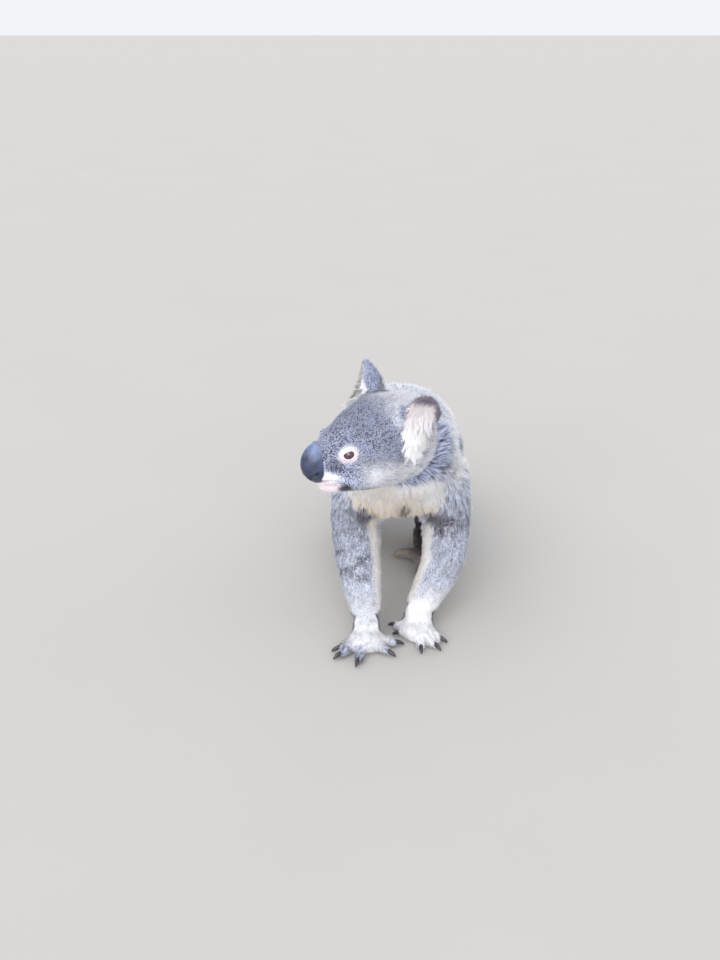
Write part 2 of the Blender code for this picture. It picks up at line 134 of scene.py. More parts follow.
def numbersOf(collection, name, size, kind=np.float64):
    found = np.empty(len(collection) * size, np.int32 if kind is int else np.float32)
    collection.foreach_get(name, found)
    return found.reshape(-1, size).astype(kind) if size > 1 else found.astype(kind)


def store(collection, name, values):
    collection.foreach_set(name, np.ascontiguousarray(values, np.float32).ravel())


def giveValues(mesh, values):
    # One value at each point of the mesh under each name.
    for name, value in values.items():
        store(mesh.attributes.new(name, "FLOAT", "POINT").data, "value", value)


def shadeSmooth(mesh):
    mesh.polygons.foreach_set("use_smooth", np.ones(len(mesh.polygons), bool))


# The skin: one closed sheet through all the flesh, sunk below the solids by the depth of the coat.
# Sizes are in metres.
skinSetup = {
    "voxel": 0.0027, "passes": 12, "pull": 0.6, "lastPasses": 2, "lastPull": 0.5, "fieldPasses": 70,
    "flowPasses": 40, "markPasses": 8, "napePasses": 220, "earShrink": 0.16, "webDraw": 0.010,
    "webFrom": 0.0042, "webTo": 0.0085, "foldDepth": 0.0012, "soleHeight": 0.0032,
    "soleEase": (0.0016, 0.0034),
}
fleshNames = sorted(n for n in nodes if not n.startswith(("claw", "eye", "nose")))
bodyNames = fleshNames + ["nose", "eye_left", "eye_right"]
# For each part of the body, in millimetres: how deep its coat is, how long its locks are, and how few passes
# of smoothing its thin forms can take.
coatPlan = {
    "head": (4.5, 9, 1.0), "jaw": (1.2, 4, 0.6), "neck": (7.5, 17, 1.0), "chest": (7.5, 17, 1.0),
    "belly": (7.5, 17, 1.0), "rump": (7.5, 17, 1.0), "nose": (2.5, 3, 1.0), "eye": (2.0, 3, 1.0),
    "ear": (1.0, 6, 0.3), "upper_arm": (4.8, 10, 1.0), "forearm": (3.9, 8.5, 1.0), "hand": (1.4, 5, 0.08),
    "thigh": (6.5, 15, 1.0), "shin": (4.5, 11, 0.9), "foot": (1.8, 6.5, 0.10),
}
# Where the coat differs from that plan, in millimetres. On the face: at the muzzle, what the back of the head
# adds and what the cheeks add. The nape and the shoulders add to the plan, and the wrists and ankles come
# down to a value.
coatChanges = {
    "depth": {"face": (1.1, 4.2, 1.5), "nape": 2.2, "shoulder": 2.4, "wrist": 1.6},
    "length": {"face": (2.8, 7.0, 4.5), "nape": 5.5, "shoulder": 6, "wrist": 5.0},
}
earShapes = {
    1: {"centre": (5, 59, 43), "halfWidth": 23.5, "halfHeight": 26, "turn": 66, "lean": 14, "narrowing": 0,
        "forwards": 0},
    -1: {"centre": (4, 59, 43), "halfWidth": 28, "halfHeight": 29, "turn": 72, "lean": 14, "narrowing": 0.75,
         "forwards": 9},
}
# Joints that the coat follows down each limb, in millimetres.
limbs = {
    "arm_left": {"upper_arm": (60.5, -87, 226), "forearm": (68.5, -69, 134), "hand": (33.5, -115, 34),
                 "tip": (29, -180, 4)},
    "arm_right": {"upper_arm": (-47.5, -89, 226), "forearm": (-52.5, -73, 134), "hand": (-38.5, -130, 34),
                  "tip": (-38, -205, 4)},
    "leg_left": {"thigh": (62.5, 155, 158), "shin": (84.5, 69, 92), "foot": (52.5, 135, 34),
                 "tip": (46, 5, 4)},
    "leg_right": {"thigh": (-43.5, 163, 158), "shin": (-57.5, 85, 92), "foot": (-57.5, 155, 34),
                  "tip": (-70, 30, 4)},
}
# The middle of each palm and sole in millimetres, and how far its web reaches out in metres.
palms = {
    "hand_left": {"middle": (29.5, -138, 8), "reach": 0.026},
    "hand_right": {"middle": (-38.5, -160, 8), "reach": 0.026},
    "foot_left": {"middle": (48.5, 55, 8), "reach": 0.024},
    "foot_right": {"middle": (-63.5, 79, 8), "reach": 0.024},
}
eyes = {side: {"centre": np.array(sum(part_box("eye_" + side), Vector()) / 2), "radius": 0.0079}
        for side in sides}


def largestPiece(bm):
    # Every vertex that is joined to the first one of the biggest loose piece.
    left, best = set(bm.verts), []
    while left:
        start = left.pop()
        found, queue = [start], [start]
        while queue:
            for edge in queue.pop().link_edges:
                for vert in edge.verts:
                    if vert in left:
                        left.discard(vert)
                        found.append(vert)
                        queue.append(vert)
        if len(found) > len(best):
            best = found
    return best


def skinSheet():
    holder = link("skin", mergedCopy(bodyNames, "skin"))
    remesh = holder.modifiers.new("remesh", "REMESH")
    remesh.mode, remesh.voxel_size = "VOXEL", skinSetup["voxel"]
    mesh = applied(holder)
    bm = bmesh.new()
    bm.from_mesh(mesh)
    keep = set(largestPiece(bm))
    bmesh.ops.delete(bm, geom=[v for v in bm.verts if v not in keep], context="VERTS")
    # The face gets finer faces for the lids, the lips and the folds beside the nose.
    for middle, reach in faceDetail():
        near = {v for v in bm.verts if (v.co - middle).length < reach}
        edges = [e for e in bm.edges if e.verts[0] in near and e.verts[1] in near]
        bmesh.ops.subdivide_edges(bm, edges=edges, cuts=1, use_grid_fill=True)
    bmesh.ops.triangulate(bm, faces=bm.faces)
    bmesh.ops.recalc_face_normals(bm, faces=bm.faces)
    bm.to_mesh(mesh)
    bm.free()
    return holder


def faceDetail():
    yield Vector(fromHead((88, 0, -25))), 0.034
    for side in sides:
        yield Vector(eyes[side]["centre"]), 0.0155
    for side in sides:
        yield Vector(eyes[side]["centre"]), 0.0125


def meanOfNeighbours(values, edges):
    count = len(values)
    total = np.empty_like(values)
    for k in range(values.shape[1]):
        total[:, k] = np.bincount(edges[:, 0], values[edges[:, 1], k], count)
        total[:, k] += np.bincount(edges[:, 1], values[edges[:, 0], k], count)
    return total / np.maximum(np.bincount(edges.ravel(), minlength=count), 1)[:, None]


def spread(values, edges, passes, share=0.5):
    values = values.reshape(len(values), -1).astype(float)
    for _ in range(passes):
        values = values + (meanOfNeighbours(values, edges) - values) * share
    return values


def vertexNormals(points, faces):
    a, b, c = (points[faces[:, k]] for k in range(3))
    face = np.cross(b - a, c - a)
    total = np.zeros_like(points)
    for k in range(3):
        for axis in range(3):
            total[:, axis] += np.bincount(faces[:, k], face[:, axis], len(points))
    return unit(total)


def ownersOf(points):
    # The name of the part that each point is nearest to.
    corners, faces, owner = [], [], []
    for name in bodyNames:
        first = len(corners)
        corners += [v.co.copy() for v in nodes[name].data.vertices]
        for face in nodes[name].data.polygons:
            faces.append([first + i for i in face.vertices])
            owner.append(name)
    tree = BVHTree.FromPolygons(corners, faces)
    return np.array([owner[tree.find_nearest(p)[2]] for p in points.tolist()])


def partOf(owners):
    return np.array([n.replace("_left", "").replace("_right", "") for n in owners])


def softMask(owners, names, edges, passes):
    # 1 on the named parts and 0 elsewhere, with a soft edge between.
    return spread(np.isin(partOf(owners), names), edges, passes)[:, 0]


def coatFields(points, owners, edges):
    # Depth and length of the coat at each vertex of the skin, in millimetres.
    parts, at, height = partOf(owners), toHead(points), points[:, 2] * 1000
    onFace = np.isin(parts, ("head", "jaw"))
    back = fade(at[:, 0], 0, 92)  # 0 at the muzzle, 1 at the back of the head
    cheek = ease(np.abs(at[:, 1]), 30, 56) * ease(-at[:, 2], 4, 34) * back
    nape = ease(-at[:, 0], 6, 46) * ease(-at[:, 2] - 0.4 * at[:, 0], -34, 10) * onFace
    shoulder = (parts == "upper_arm") * ease(height, 172, 232)
    taper = np.isin(parts, ("forearm", "shin")) * fade(height, 38, 84)
    fields = []
    for column, change in enumerate(coatChanges.values()):
        field = np.array([coatPlan[p][column] for p in parts], float)
        muzzle, behind, beside = change["face"]
        field = np.where(onFace, muzzle + behind * back + beside * cheek, field)
        field += change["nape"] * nape + change["shoulder"] * shoulder
        fields.append(field + (change["wrist"] - field) * taper)
    plain = np.stack(fields, 1)
    both = spread(plain, edges, skinSetup["fieldPasses"])
    thin = softMask(owners, ("ear", "hand", "foot"), edges, 8)[:, None]
    both = both * (1 - thin) + np.minimum(both, plain * 1.3) * thin
    return both[:, 0], both[:, 1]


def earPlace(points, sign):
    # Places in an ear's own frame, in its half-widths: out of the hollow, across to its outer edge, up.
    shape = earShapes[sign]
    turn = np.array(Matrix.Rotation(math.radians(shape["turn"] * sign), 3, "Z")
                    @ Matrix.Rotation(math.radians(shape["lean"]), 3, "Y"))
    local = (toHead(points) - np.array(shape["centre"]) * (1, sign, 1)) @ turn
    rise = np.clip((local[:, 2] / shape["halfHeight"] + 1) / 2, 0, 1)
    local[:, 1] = (local[:, 1] + shape["forwards"] * rise * sign) / (1 - shape["narrowing"] * rise)
    return local / (shape["halfWidth"], shape["halfWidth"] * sign, shape["halfHeight"]), turn


# The lie of the coat: directions on the trunk, places on the head that it spreads from in millimetres, and
# how far behind the ankle it spreads from on the foot in metres.
coatLie = {
    "chest": (0, 0.72, -0.70), "neck": (0, 0.62, -0.78), "rump": (0, 0.5, -0.86), "nose": (108, 0, -14),
    "ear": (2, 44, 18), "heel": 0.02,
}


def coatFlow(points, normals, owners, edges):
    # Away from the nose, back along the trunk and down it, and down each limb.
    parts, at = partOf(owners), toHead(points)
    flow = np.tile(coatLie["chest"], (len(points), 1)).astype(float)
    onFace = np.isin(parts, faceParts)
    flow[onFace] = unit(at[onFace] - coatLie["nose"]) @ headAxes.T
    for side, sign in sides.items():
        isEar = owners == "ear_" + side
        flow[isEar] = unit(at[isEar] - np.array(coatLie["ear"]) * (1, sign, 1)) @ headAxes.T
    for part in ("neck", "rump"):
        flow[parts == part] = coatLie[part]
    for limb, joints in limbs.items():
        names = list(joints)
        for name, after in zip(names, names[1:]):
            along = unit(np.subtract(joints[after], joints[name]) / 1000)
            here = owners == name + "_" + limb.split("_")[1]
            flow[here] = along
            if name in ("hand", "foot"):
                start = np.array(joints[name]) / 1000 * (1, 1, 0.5)
                start -= along * (coatLie["heel"] if name == "foot" else 0)
                flow[here] = unit(points[here] - start)
    flow = flat(flow, normals)
    for _ in range(skinSetup["flowPasses"]):
        flow = flat(flow + meanOfNeighbours(flow, edges), normals)
    return flow


def segmentDistance(points, ends):
    # How far each point is from a line through the given places.
    best = np.full(len(points), 1e9)
    ends = np.asarray(ends, float)
    for a, b in zip(ends, ends[1:]):
        t = np.clip((points - a) @ (b - a) / ((b - a) @ (b - a)), 0, 1)
        best = np.minimum(best, np.linalg.norm(points - a - t[:, None] * (b - a), axis=1))
    return best


def folded(points):
    # The same places, all on the left side of the middle.
    return np.column_stack((points[:, 0], np.abs(points[:, 1]), points[:, 2]))


# The line of the mouth on the left side, how wide and deep its groove is, and how the lips swell beside
# it, all in millimetres.
mouthSetup = {
    "line": ((107.5, 0, -42.5), (105.7, 9, -41), (102.5, 17, -37), (98, 24, -34.5), (92.5, 28, -35.5),
             (88, 30.5, -39.5)),
    "width": 1.3, "depth": 1.9, "lipPlace": 4.0, "lipWidth": 2.2, "lipRise": 0.9,
}
# The pad of the nose, in millimetres and degrees, and how small the skin is under it as a share of the pad.
padShape = {"centre": (100, 0, -20.5), "reach": (24, 17, 25), "lean": -4, "skinShare": 0.72, "segments": 96}
# How high each point of the coat's front edge on the pad is, and how far forward.
coatEdge = {"up": (-45, -40, -33, -25, -12, -3, 2.5, 6),
            "forward": (107, 107, 106, 105, 104.5, 106, 110, 113)}
# The lids, in metres: the half length of the slit, its half heights, how far the lids reach round the eye and
# behind it, and how thick they are.
lidSetup = {
    "halfLength": 0.0066, "above": 0.0044, "below": 0.0042, "reach": 0.0165, "behind": 0.006,
    "thickness": 0.0009, "least": 0.0033, "inside": 0.0022, "crease": 0.0006, "rim": 0.0005, "cover": 0.0006,
}


def mouthDistance(at):
    return segmentDistance(folded(at), mouthSetup["line"])


def beyondCoat(at):
    # How far each place lies in front of the line where the coat ends on the pad of the nose, in millimetres.
    return at[:, 0] - np.interp(at[:, 2], coatEdge["up"], coatEdge["forward"])


def eyeAxes(side):
    # Out of the eye, along the slit of the lids towards the ear, and up across it.
    out = unit(np.array((0.42, 0.86 * sides[side], 0.16)) @ headAxes.T)
    back = np.array((-0.93, 0.0, 0.30)) @ headAxes.T
    back = unit(back - (back @ out) * out)
    up = np.cross(out, back) * -sides[side]
    return out, back, unit(up)


def sculptFace(points, normals):
    # Lids round the eyes, the line of the mouth and the soft lips beside it.
    at = toHead(points)
    near = mouthDistance(at)
    groove = bell(near, mouthSetup["width"]) * mouthSetup["depth"]
    lip = bell(near - mouthSetup["lipPlace"], mouthSetup["lipWidth"]) * mouthSetup["lipRise"]
    points = points + normals * ((lip - groove) / 1000)[:, None]
    # The coat runs forward over the back of the nose's pad, and the skin passes well below the rest of it.
    lean = np.array(Matrix.Rotation(math.radians(-padShape["lean"]), 3, "Y"))
    local = (toHead(points) - padShape["centre"]) @ lean / padShape["reach"]
    radius = np.linalg.norm(local, axis=1)
    ahead = ease(beyondCoat(at), -2.0, 2.4)
    wanted = np.maximum(radius, 1.0) * (1 - ahead) + np.minimum(radius, padShape["skinShare"]) * ahead
    here = fade(radius, 1.06, 1.22) * ease(at[:, 0], 86, 92)
    local *= (1 + (wanted / radius - 1) * here)[:, None]
    points = fromHead(local * padShape["reach"] @ lean.T + padShape["centre"])
    for side, eye in eyes.items():
        out, back, up = eyeAxes(side)
        local = points - eye["centre"]
        w, h, v = local @ out, local @ back, local @ up
        halfHeight = np.where(v > 0, lidSetup["above"], lidSetup["below"])
        opening = np.hypot(h / lidSetup["halfLength"], v / halfHeight)
        aside = np.hypot(h, v)
        here = (w > -lidSetup["behind"]) & (aside < lidSetup["reach"])
        ball = np.sqrt(np.maximum(eye["radius"] ** 2 - aside**2, 0))
        margin = np.maximum(ball, lidSetup["least"]) + lidSetup["thickness"]
        crease = -lidSetup["crease"] * bell(opening - 1.75, 0.16)
        rim = margin + lidSetup["rim"] * np.sin(np.clip((opening - 1.0) / 0.5, 0, 1) * math.pi)
        outside = rim + (w - rim) * ease(opening, 1.25, 2.35) + crease
        within = lidSetup["inside"] + (margin - lidSetup["inside"]) * ease(opening, 0.88, 1.0)
        covers = (opening >= 1) & (aside < eye["radius"])
        wanted = np.where(opening < 1, within, outside)
        wanted = np.where(covers, np.maximum(wanted, ball + lidSetup["cover"]), wanted)
        points[here] += out * (wanted - w)[here][:, None]
    return points


def lay(marks, kind, values):
    marks[kind] = np.maximum(marks[kind], values)


# Marks on the head: the kind and strength of each, its middle and reach in millimetres, and its softness.
faceMarks = {
    "lips": ("white", 0.9, (101, 18, -32), (15, 13, 6.5), 0.6),
    "lipBlush": ("pink", 0.28, (104, 14, -38), (10, 14, 6), 0.35),
    # Painted shade in the corner where the mouth ends.
    "jawCorner": ("dark", 0.95, (85, 29, -45), (6.5, 11, 6), 0.35),
    "cheekStripe": ("dark", 0.25, (84, 33, -21), (15, 10, 4.5), 0.6),
    "belowEye": ("dark", 0.18, (72, 41, -25), (9, 12, 6), 0.6),
    "besideNose": ("dark", 0.55, (94, 22, -16), (11, 12, 8), 0.6),
}


def markFace(marks, at, onFace):
    # Pale lips and chin, painted shade at the corner of the jaw and along the line of the mouth, a stripe
    # under the eye, paler cheeks, and a crown painted paler as a painted highlight.
    left, mouth = folded(at), mouthDistance(at)
    chin = fade(at[:, 2], -44, -36) * ease(at[:, 0], 86, 94) * onFace
    lay(marks, "white", chin)
    lay(marks, "pink", 0.36 * chin)
    for kind, strength, middle, reach, soft in faceMarks.values():
        lay(marks, kind, strength * patch(left, middle, reach, 1 - soft, 1 + soft) * onFace)
    bridge = ease(at[:, 2], -24, -6) * (1 - 0.75 * ease(-at[:, 0], -14, 10))
    lay(marks, "dark", 0.34 * bridge * onFace)
    # Painted shade along the line of the mouth: the groove between the lips is painted dark, not pale.
    marks["white"] *= 1 - bell(mouth, 1.3) * onFace
    marks["pink"] *= 1 - bell(mouth, 0.8) * onFace
    lay(marks, "dark", bell(mouth, 1.2) * onFace)
    cheek = ease(left[:, 1], 28, 48) * ease(-at[:, 2], -2, 24) * fade(at[:, 0], 60, 86) * onFace
    behindEar = patch(left, (-16, 58, 2), (22, 20, 26), 0.5, 1.5) * onFace
    # Painted highlight: the crown, where light falls on top of the head, is painted paler and less dark.
    crown = ease(at[:, 2] + 0.2 * left[:, 1], 24, 44) * ease(-at[:, 0], -52, -12) * onFace
    for strength, place in ((0.55, cheek), (0.60, behindEar), (0.68, crown)):
        lay(marks, "white", strength * place)
    marks["dark"] *= 1 - 0.8 * crown


# The pale ring round each eye: how far it reaches, in millimetres.
eyeRings = {"left": 10.8, "right": 8.2}


def markEyes(marks, points):
    for side, reach in eyeRings.items():
        out, back, up = eyeAxes(side)
        local = (points - eyes[side]["centre"]) * 1000
        h, v, w = local @ back, local @ up, local @ out
        ring = np.hypot(h / np.where(h < 0, 1.35, 1.12), v)
        onRing = fade(ring, reach - 5.2, reach + 0.8) * (w > -6)
        marks["dark"] *= 1 - onRing
        if side == "right":
            # Less of it shows here, and least above the eye and ahead of it.
            onRing = 0.4 * onRing * (1 - 0.9 * np.maximum(ease(v, -3, 2), ease(-h, -1, 3)))
        lay(marks, "white", 0.86 * onRing)
        lay(marks, "pink", (0.50 - 0.30 * ease(ring, 6, 9.5)) * onRing)


# Marks on the chest and the arms in the model's own millimetres: the middle, the reach, and where the
# edge starts and ends.
bodyMarks = {
    "brownRight": ((-44, -115, 169), (17, 36, 18), 0.55, 1.15),
    "brownLeft": ((52, -107, 160), (17, 36, 18), 0.55, 1.15),
    # Painted shade in the hollow where the bib parts from the belly.
    "notch": ((8, -133, 182), (8, 34, 20), 0.4, 1.2),
    "ruff": ((56, -165, 264), (18, 30, 20), 0.5, 1.2),
    "fluff": ((43, -132, 212), (18, 42, 32), 0.6, 1.1),
}
bibSetup = {"middle": -8, "half": 62, "narrower": 14, "soft": 10}


def markBody(marks, parts, mm, normals):
    # The throat and the chest are creamy white, and so are the belly and the inner sides of the arms.
    trunk, isArm = np.isin(parts, trunkParts), np.isin(parts, armParts)
    half = bibSetup["half"] - bibSetup["narrower"] * ease(mm[:, 2], 204, 222)
    across = np.abs(mm[:, 0] - bibSetup["middle"])
    bib = ease(-mm[:, 1], 70, 104) * fade(across, half - bibSetup["soft"], half + bibSetup["soft"])
    bib *= fade(mm[:, 2], 240, 272) * ease(-normals[:, 1] - normals[:, 2] * 0.4, -0.15, 0.35)
    under = ease(-normals[:, 2], 0.35, 0.85)
    lay(marks, "white", trunk * np.maximum(bib, 0.85 * under))
    lay(marks, "warm", trunk * np.maximum(0.75 * bib * fade(mm[:, 2], 176, 226), 0.6 * under))
    inward = -np.sign(mm[:, 0] + 4) * normals[:, 0]
    inner = ease(inward, 0.42, 0.75) * isArm
    lay(marks, "white", 0.9 * inner)
    lay(marks, "warm", 0.22 * inner)
    # The hind legs are painted dark inside and in front, low down: painted shade where they lie under the
    # body.
    shade = ease(np.maximum(inward, -normals[:, 1]), 0.1, 0.6) * fade(mm[:, 2], 96, 140)
    lay(marks, "dark", 1.2 * shade * np.isin(parts, ("thigh", "shin")))
    # The arms are brownish in front above the elbows, and a wedge of painted shade, dark and warm, parts the
    # bib from below.
    spots = {name: patch(mm, *mark) for name, mark in bodyMarks.items()}
    brown = np.maximum(spots["brownRight"], spots["brownLeft"]) * (isArm | trunk)
    marks["white"] *= 1 - brown
    for kind, place in (("dark", 0.72 * brown), ("warm", 0.55 * brown), ("warm", spots["notch"] * trunk),
                        ("dark", 0.95 * spots["notch"] * trunk), ("dark", 0.55 * spots["ruff"] * trunk),
                        ("white", spots["fluff"] * (isArm | trunk))):
        lay(marks, kind, place)
    marks["warm"] *= 1 - spots["fluff"]


def markPaws(marks, owners, parts, mm):
    # The arms pale down to white wrists. The fingers are grey, and the hind feet brown, darkened by painted
    # shade up the ankles.
    cuff = np.where(mm[:, 0] > 0, 0.66, 0.35)
    pale = 0.20 + 0.04 * fade(mm[:, 2], 88, 120) + cuff * fade(mm[:, 2], 28, 78)
    lay(marks, "white", pale * np.isin(parts, armParts))
    reach = np.zeros(len(mm))
    for side in sides:
        here = owners == "hand_" + side
        ahead = (mm - np.array(limbs["arm_" + side]["hand"]))[here][:, :2] + (0, 22)
        ahead[:, 1] *= np.where(ahead[:, 1] > 0, 0.2, 1)
        reach[here] = np.linalg.norm(ahead, axis=1)
    # Painted shade: up the ankle the foot is painted darker and less white.
    ankle = ease(mm[:, 2], 17, 31)
    paws = {
        "hand": {"white": 0.80 - 0.72 * ease(reach, 21, 42) - (0.66 - cuff) * ease(mm[:, 2], 18, 34),
                 "dark": 0.36 * ease(reach, 27, 48)},
        "foot": {"white": 0.85 * (1 - ankle), "warm": 0.85, "dark": 0.54 + 0.9 * ankle},
    }
    for part, values in paws.items():
        for kind, value in values.items():
            marks[kind] = np.where(parts == part, value, marks[kind])


def markBack(marks, parts, mm, normals):
    # The rump is dappled pale at its end, and the left flank is paler than the rest. The back is painted
    # paler
    # where it faces up: a painted highlight where light falls on it.
    flank = ease(mm[:, 0], 40, 85) * ease(mm[:, 2], 190, 240)
    for strength, place, names in ((0.42, ease(mm[:, 1], 170, 225), ("rump",)),
                                   # Painted highlight on the upward faces of the trunk.
                                   (0.45, ease(normals[:, 2], 0.45, 0.95), trunkParts),
                                   (0.95, flank, ("neck", "chest", "belly"))):
        lay(marks, "white", strength * place * np.isin(parts, names))


def markEars(marks, points, normals, owners, onFace):
    # Pale pink inside with white hair at the foot of the hollow, and dark along the upper rim.
    for side, sign in sides.items():
        isEar = owners == "ear_" + side
        local, turn = earPlace(points, sign)
        facing = normals @ (turn[:, 0] @ headAxes.T)
        fromMiddle = np.hypot(local[:, 1], local[:, 2])
        rim = np.maximum(ease(local[:, 2] + 0.15 * local[:, 1], 0.15, 0.5), ease(local[:, 1], 0.30, 0.62))
        inside = ease(facing, 0.05, 0.45) * fade(fromMiddle, 0.92, 1.08) * (local[:, 0] > -0.3) * (1 - rim)
        blush = 0.10 + 0.30 * ease(fromMiddle, 0.35, 0.7) * ease(local[:, 2], -0.5, 0.2)
        darkRim = rim * (1.0 if sign > 0 else 0.25)
        pink = inside * blush * ease(local[:, 2], -0.8, -0.3)
        values = {
            "pink": np.maximum(pink, 0.14 * darkRim * ease(facing, 0, 0.4)),
            "white": inside + 0.3 * ease(fromMiddle, 0.95, 1.1),
            "dark": np.maximum(0.62 * darkRim * ease(facing, -0.3, 0.4), 0.10),
        }
        for kind, value in values.items():
            marks[kind] = np.where(isEar, value, marks[kind])
        # White hair below the hollow, on the side of the head.
        below = patch(toHead(points), (11, 57 * sign, 6), (12, 14, 21), 0.75, 1.15) * onFace
        lay(marks, "white", below)
        marks["dark"] *= 1 - below


def markings(points, normals, owners):
    # Shares of white, dark, warm cream and naked pink at each place, for the skin and the coat alike.
    marks = {kind: np.zeros(len(points)) for kind in ("white", "dark", "warm", "pink")}
    parts, mm = partOf(owners), points * 1000
    onFace = np.isin(parts, faceParts)
    markFace(marks, toHead(points), onFace)
    markEyes(marks, points)
    markBody(marks, parts, mm, normals)
    markPaws(marks, owners, parts, mm)
    markBack(marks, parts, mm, normals)
    markEars(marks, points, normals, owners, onFace)
    return np.stack(list(marks.values()), 1)


# Creases across the front of the arms: the height of each in millimetres, with its strength on the left
# arm and on the right. The strength sinks the skin and also sets the painted shade in each crease.
creaseLevels = {
    172: (0.4, 0.3), 158: (0.7, 0.4), 149: (1.8, 0.5), 140: (1.9, 0.5), 131: (1.5, 0.7), 120: (0.4, 0.4),
    106: (0.4, 1.1), 96: (0.2, 0.7), 86: (0.2, 0.9),
}


def armCreaseDepthAndShade(points, normals):
    # How strong each wavy crease is at each place: how deep it sinks the skin, and how much painted shade it
    # lays there.
    x, height, total = points[:, 0] * 1000, points[:, 2] * 1000, np.zeros(len(points))
    ahead = ease(-normals[:, 1], 0.1, 0.5) * fade(-np.sign(x + 4) * normals[:, 0], 0.3, 0.6)
    ahead *= 1 - 0.6 * ease(x, 66, 84)
    for level, (left, right) in creaseLevels.items():
        wave = level + 3.0 * np.sin(x / 7 + level) + 1.8 * np.sin(x / 3.1 + 2 * level)
        band = bell(height - wave, 1.8) * ahead * np.where(x > 0, left, right)
        gaps = ease(np.sin(x / 12 + 3 * level) + 0.6 * np.sin(x / 4.3 + level), -1.5, -0.2)
        total = np.maximum(total, band * gaps)
    return total


def digitLines():
    # For each hand and foot: its node, the roots of its claws and the middle of its palm.
    for owner, plan in palms.items():
        palm = np.array(plan["middle"]) / 1000
        boxes = [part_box(node) for node in nodes if node.startswith("claw_" + owner)]
        claws = [np.array(((low[0] + high[0]) / 2, (low[1] + high[1]) / 2, 0.006)) for low, high in boxes]
        kind, side = owner.split("_")
        if kind == "foot":
            claws.append(palm + np.array((-0.040 * sides[side], 0.008, 0)))
        yield owner, claws, palm


def shrinkEars(points, owners, edges):
    # The edge of the ear draws in, so that its fringe ends where the solid does.
    for side, sign in sides.items():
        local, _ = earPlace(points, sign)
        share = spread(owners == "ear_" + side, edges, 6)[:, 0]
        middle = fromHead(np.array(earShapes[sign]["centre"]) * (1, sign, 1))
        draw = skinSetup["earShrink"] * share * ease(local[:, 2], -0.9, 0.1)
        points += (middle - points) * draw[:, None]


def drawWebs(points, owners):
    # The web between two digits draws back towards the palm.
    for owner, claws, palm in digitLines():
        here, reach = owners == owner, palms[owner]["reach"]
        away = np.full(here.sum(), 1.0)
        for tip in claws:
            line = np.array((palm, tip)) * (1, 1, 0)
            away = np.minimum(away, segmentDistance(points[here] * (1, 1, 0), line))
        outside = np.linalg.norm((points[here] - palm)[:, :2], axis=1)
        draw = skinSetup["webDraw"] * ease(away, skinSetup["webFrom"], skinSetup["webTo"])
        draw *= ease(outside, reach * 0.72, reach * 1.25)
        points[here] += unit((palm - points[here]) * (1, 1, 0)) * draw[:, None]


skin = skinSheet()
mesh = skin.data
skinPoints = numbersOf(mesh.vertices, "co", 3)
skinEdges = numbersOf(mesh.edges, "vertices", 2, int)
skinFaces = numbersOf(mesh.loops, "vertex_index", 1, int).reshape(-1, 3)
skinOwners = ownersOf(skinPoints)
smoothShare = spread(np.array([coatPlan[p][2] for p in partOf(skinOwners)]), skinEdges, 6)
skinPoints = spread(skinPoints, skinEdges, skinSetup["passes"], smoothShare * skinSetup["pull"])
skinDepth, skinLength = coatFields(skinPoints, skinOwners, skinEdges)
sinkNormals = unit(spread(vertexNormals(skinPoints, skinFaces), skinEdges, 4))
skinPoints -= sinkNormals * (skinDepth / 1000)[:, None]
shrinkEars(skinPoints, skinOwners, skinEdges)
# The crease where the head meets the neck is filled softly.
nape = softMask(skinOwners, ("head", "jaw"), skinEdges, 32)
nape = 4 * nape * (1 - nape) * ease(-toHead(skinPoints)[:, 0], -22, 6)
skinPoints = spread(skinPoints, skinEdges, skinSetup["napePasses"], nape[:, None] * skinSetup["pull"])
skinPoints = spread(skinPoints, skinEdges, skinSetup["lastPasses"], smoothShare * skinSetup["lastPull"])
drawWebs(skinPoints, skinOwners)
skinNormals = vertexNormals(skinPoints, skinFaces)
folds = armCreaseDepthAndShade(skinPoints, skinNormals) * softMask(skinOwners, armParts, skinEdges, 10)
skinPoints -= skinNormals * (folds * skinSetup["foldDepth"])[:, None]
skinPoints = sculptFace(skinPoints, skinNormals)
skinPoints[:, 2] = np.maximum(skinPoints[:, 2], 0.0)
sole = skinPoints[:, 2] < skinSetup["soleHeight"]
skinPoints[sole, 2] *= ease(skinPoints[sole, 2], *skinSetup["soleEase"])
skinNormals = vertexNormals(skinPoints, skinFaces)
store(mesh.vertices, "co", skinPoints)
shadeSmooth(mesh)
mesh.update()
skinFlow = coatFlow(skinPoints, skinNormals, skinOwners, skinEdges)
skinMarks = markings(skinPoints, skinNormals, skinOwners)
softMarks = spread(skinMarks, skinEdges, skinSetup["markPasses"])
sharpShare = softMask(skinOwners, (*faceParts, "ear"), skinEdges, 6)[:, None]
skinMarks = skinMarks * sharpShare + softMarks * (1 - sharpShare)
onArms = np.isin(partOf(skinOwners), armParts)
# Painted shade darkens the skin in each arm crease.
skinMarks[:, 1] = np.maximum(skinMarks[:, 1], armCreaseDepthAndShade(skinPoints, skinNormals) * onArms)
paws = softMask(skinOwners, ("hand", "foot"), skinEdges, 6)
skinMarks = np.column_stack((skinMarks, np.maximum(ease(skinLength, 6, 15), 0.8 * paws)))
print("skin:", len(skinPoints), "vertices,", len(skinFaces), "triangles")

markKinds = ("White", "Dark", "Warm", "Pink", "Coarse")


def giveMarks(mesh, marks):
    giveValues(mesh, {kind.lower() + "Share": column for kind, column in zip(markKinds, marks.T)})


giveMarks(mesh, skinMarks)

# Colours of the coat and the bare skin, all shared by the skin and every piece of the coat. Root and tip say
# how bright a lock is at its ends.
coatColours = {
    "greyDark": (50, 50, 68), "greyLight": (209, 219, 250), "white": (252, 251, 253), "dark": (54, 46, 58),
    "warm": (232, 214, 190), "pink": (242, 196, 206), "root": 0.34, "tip": 1.14,
}
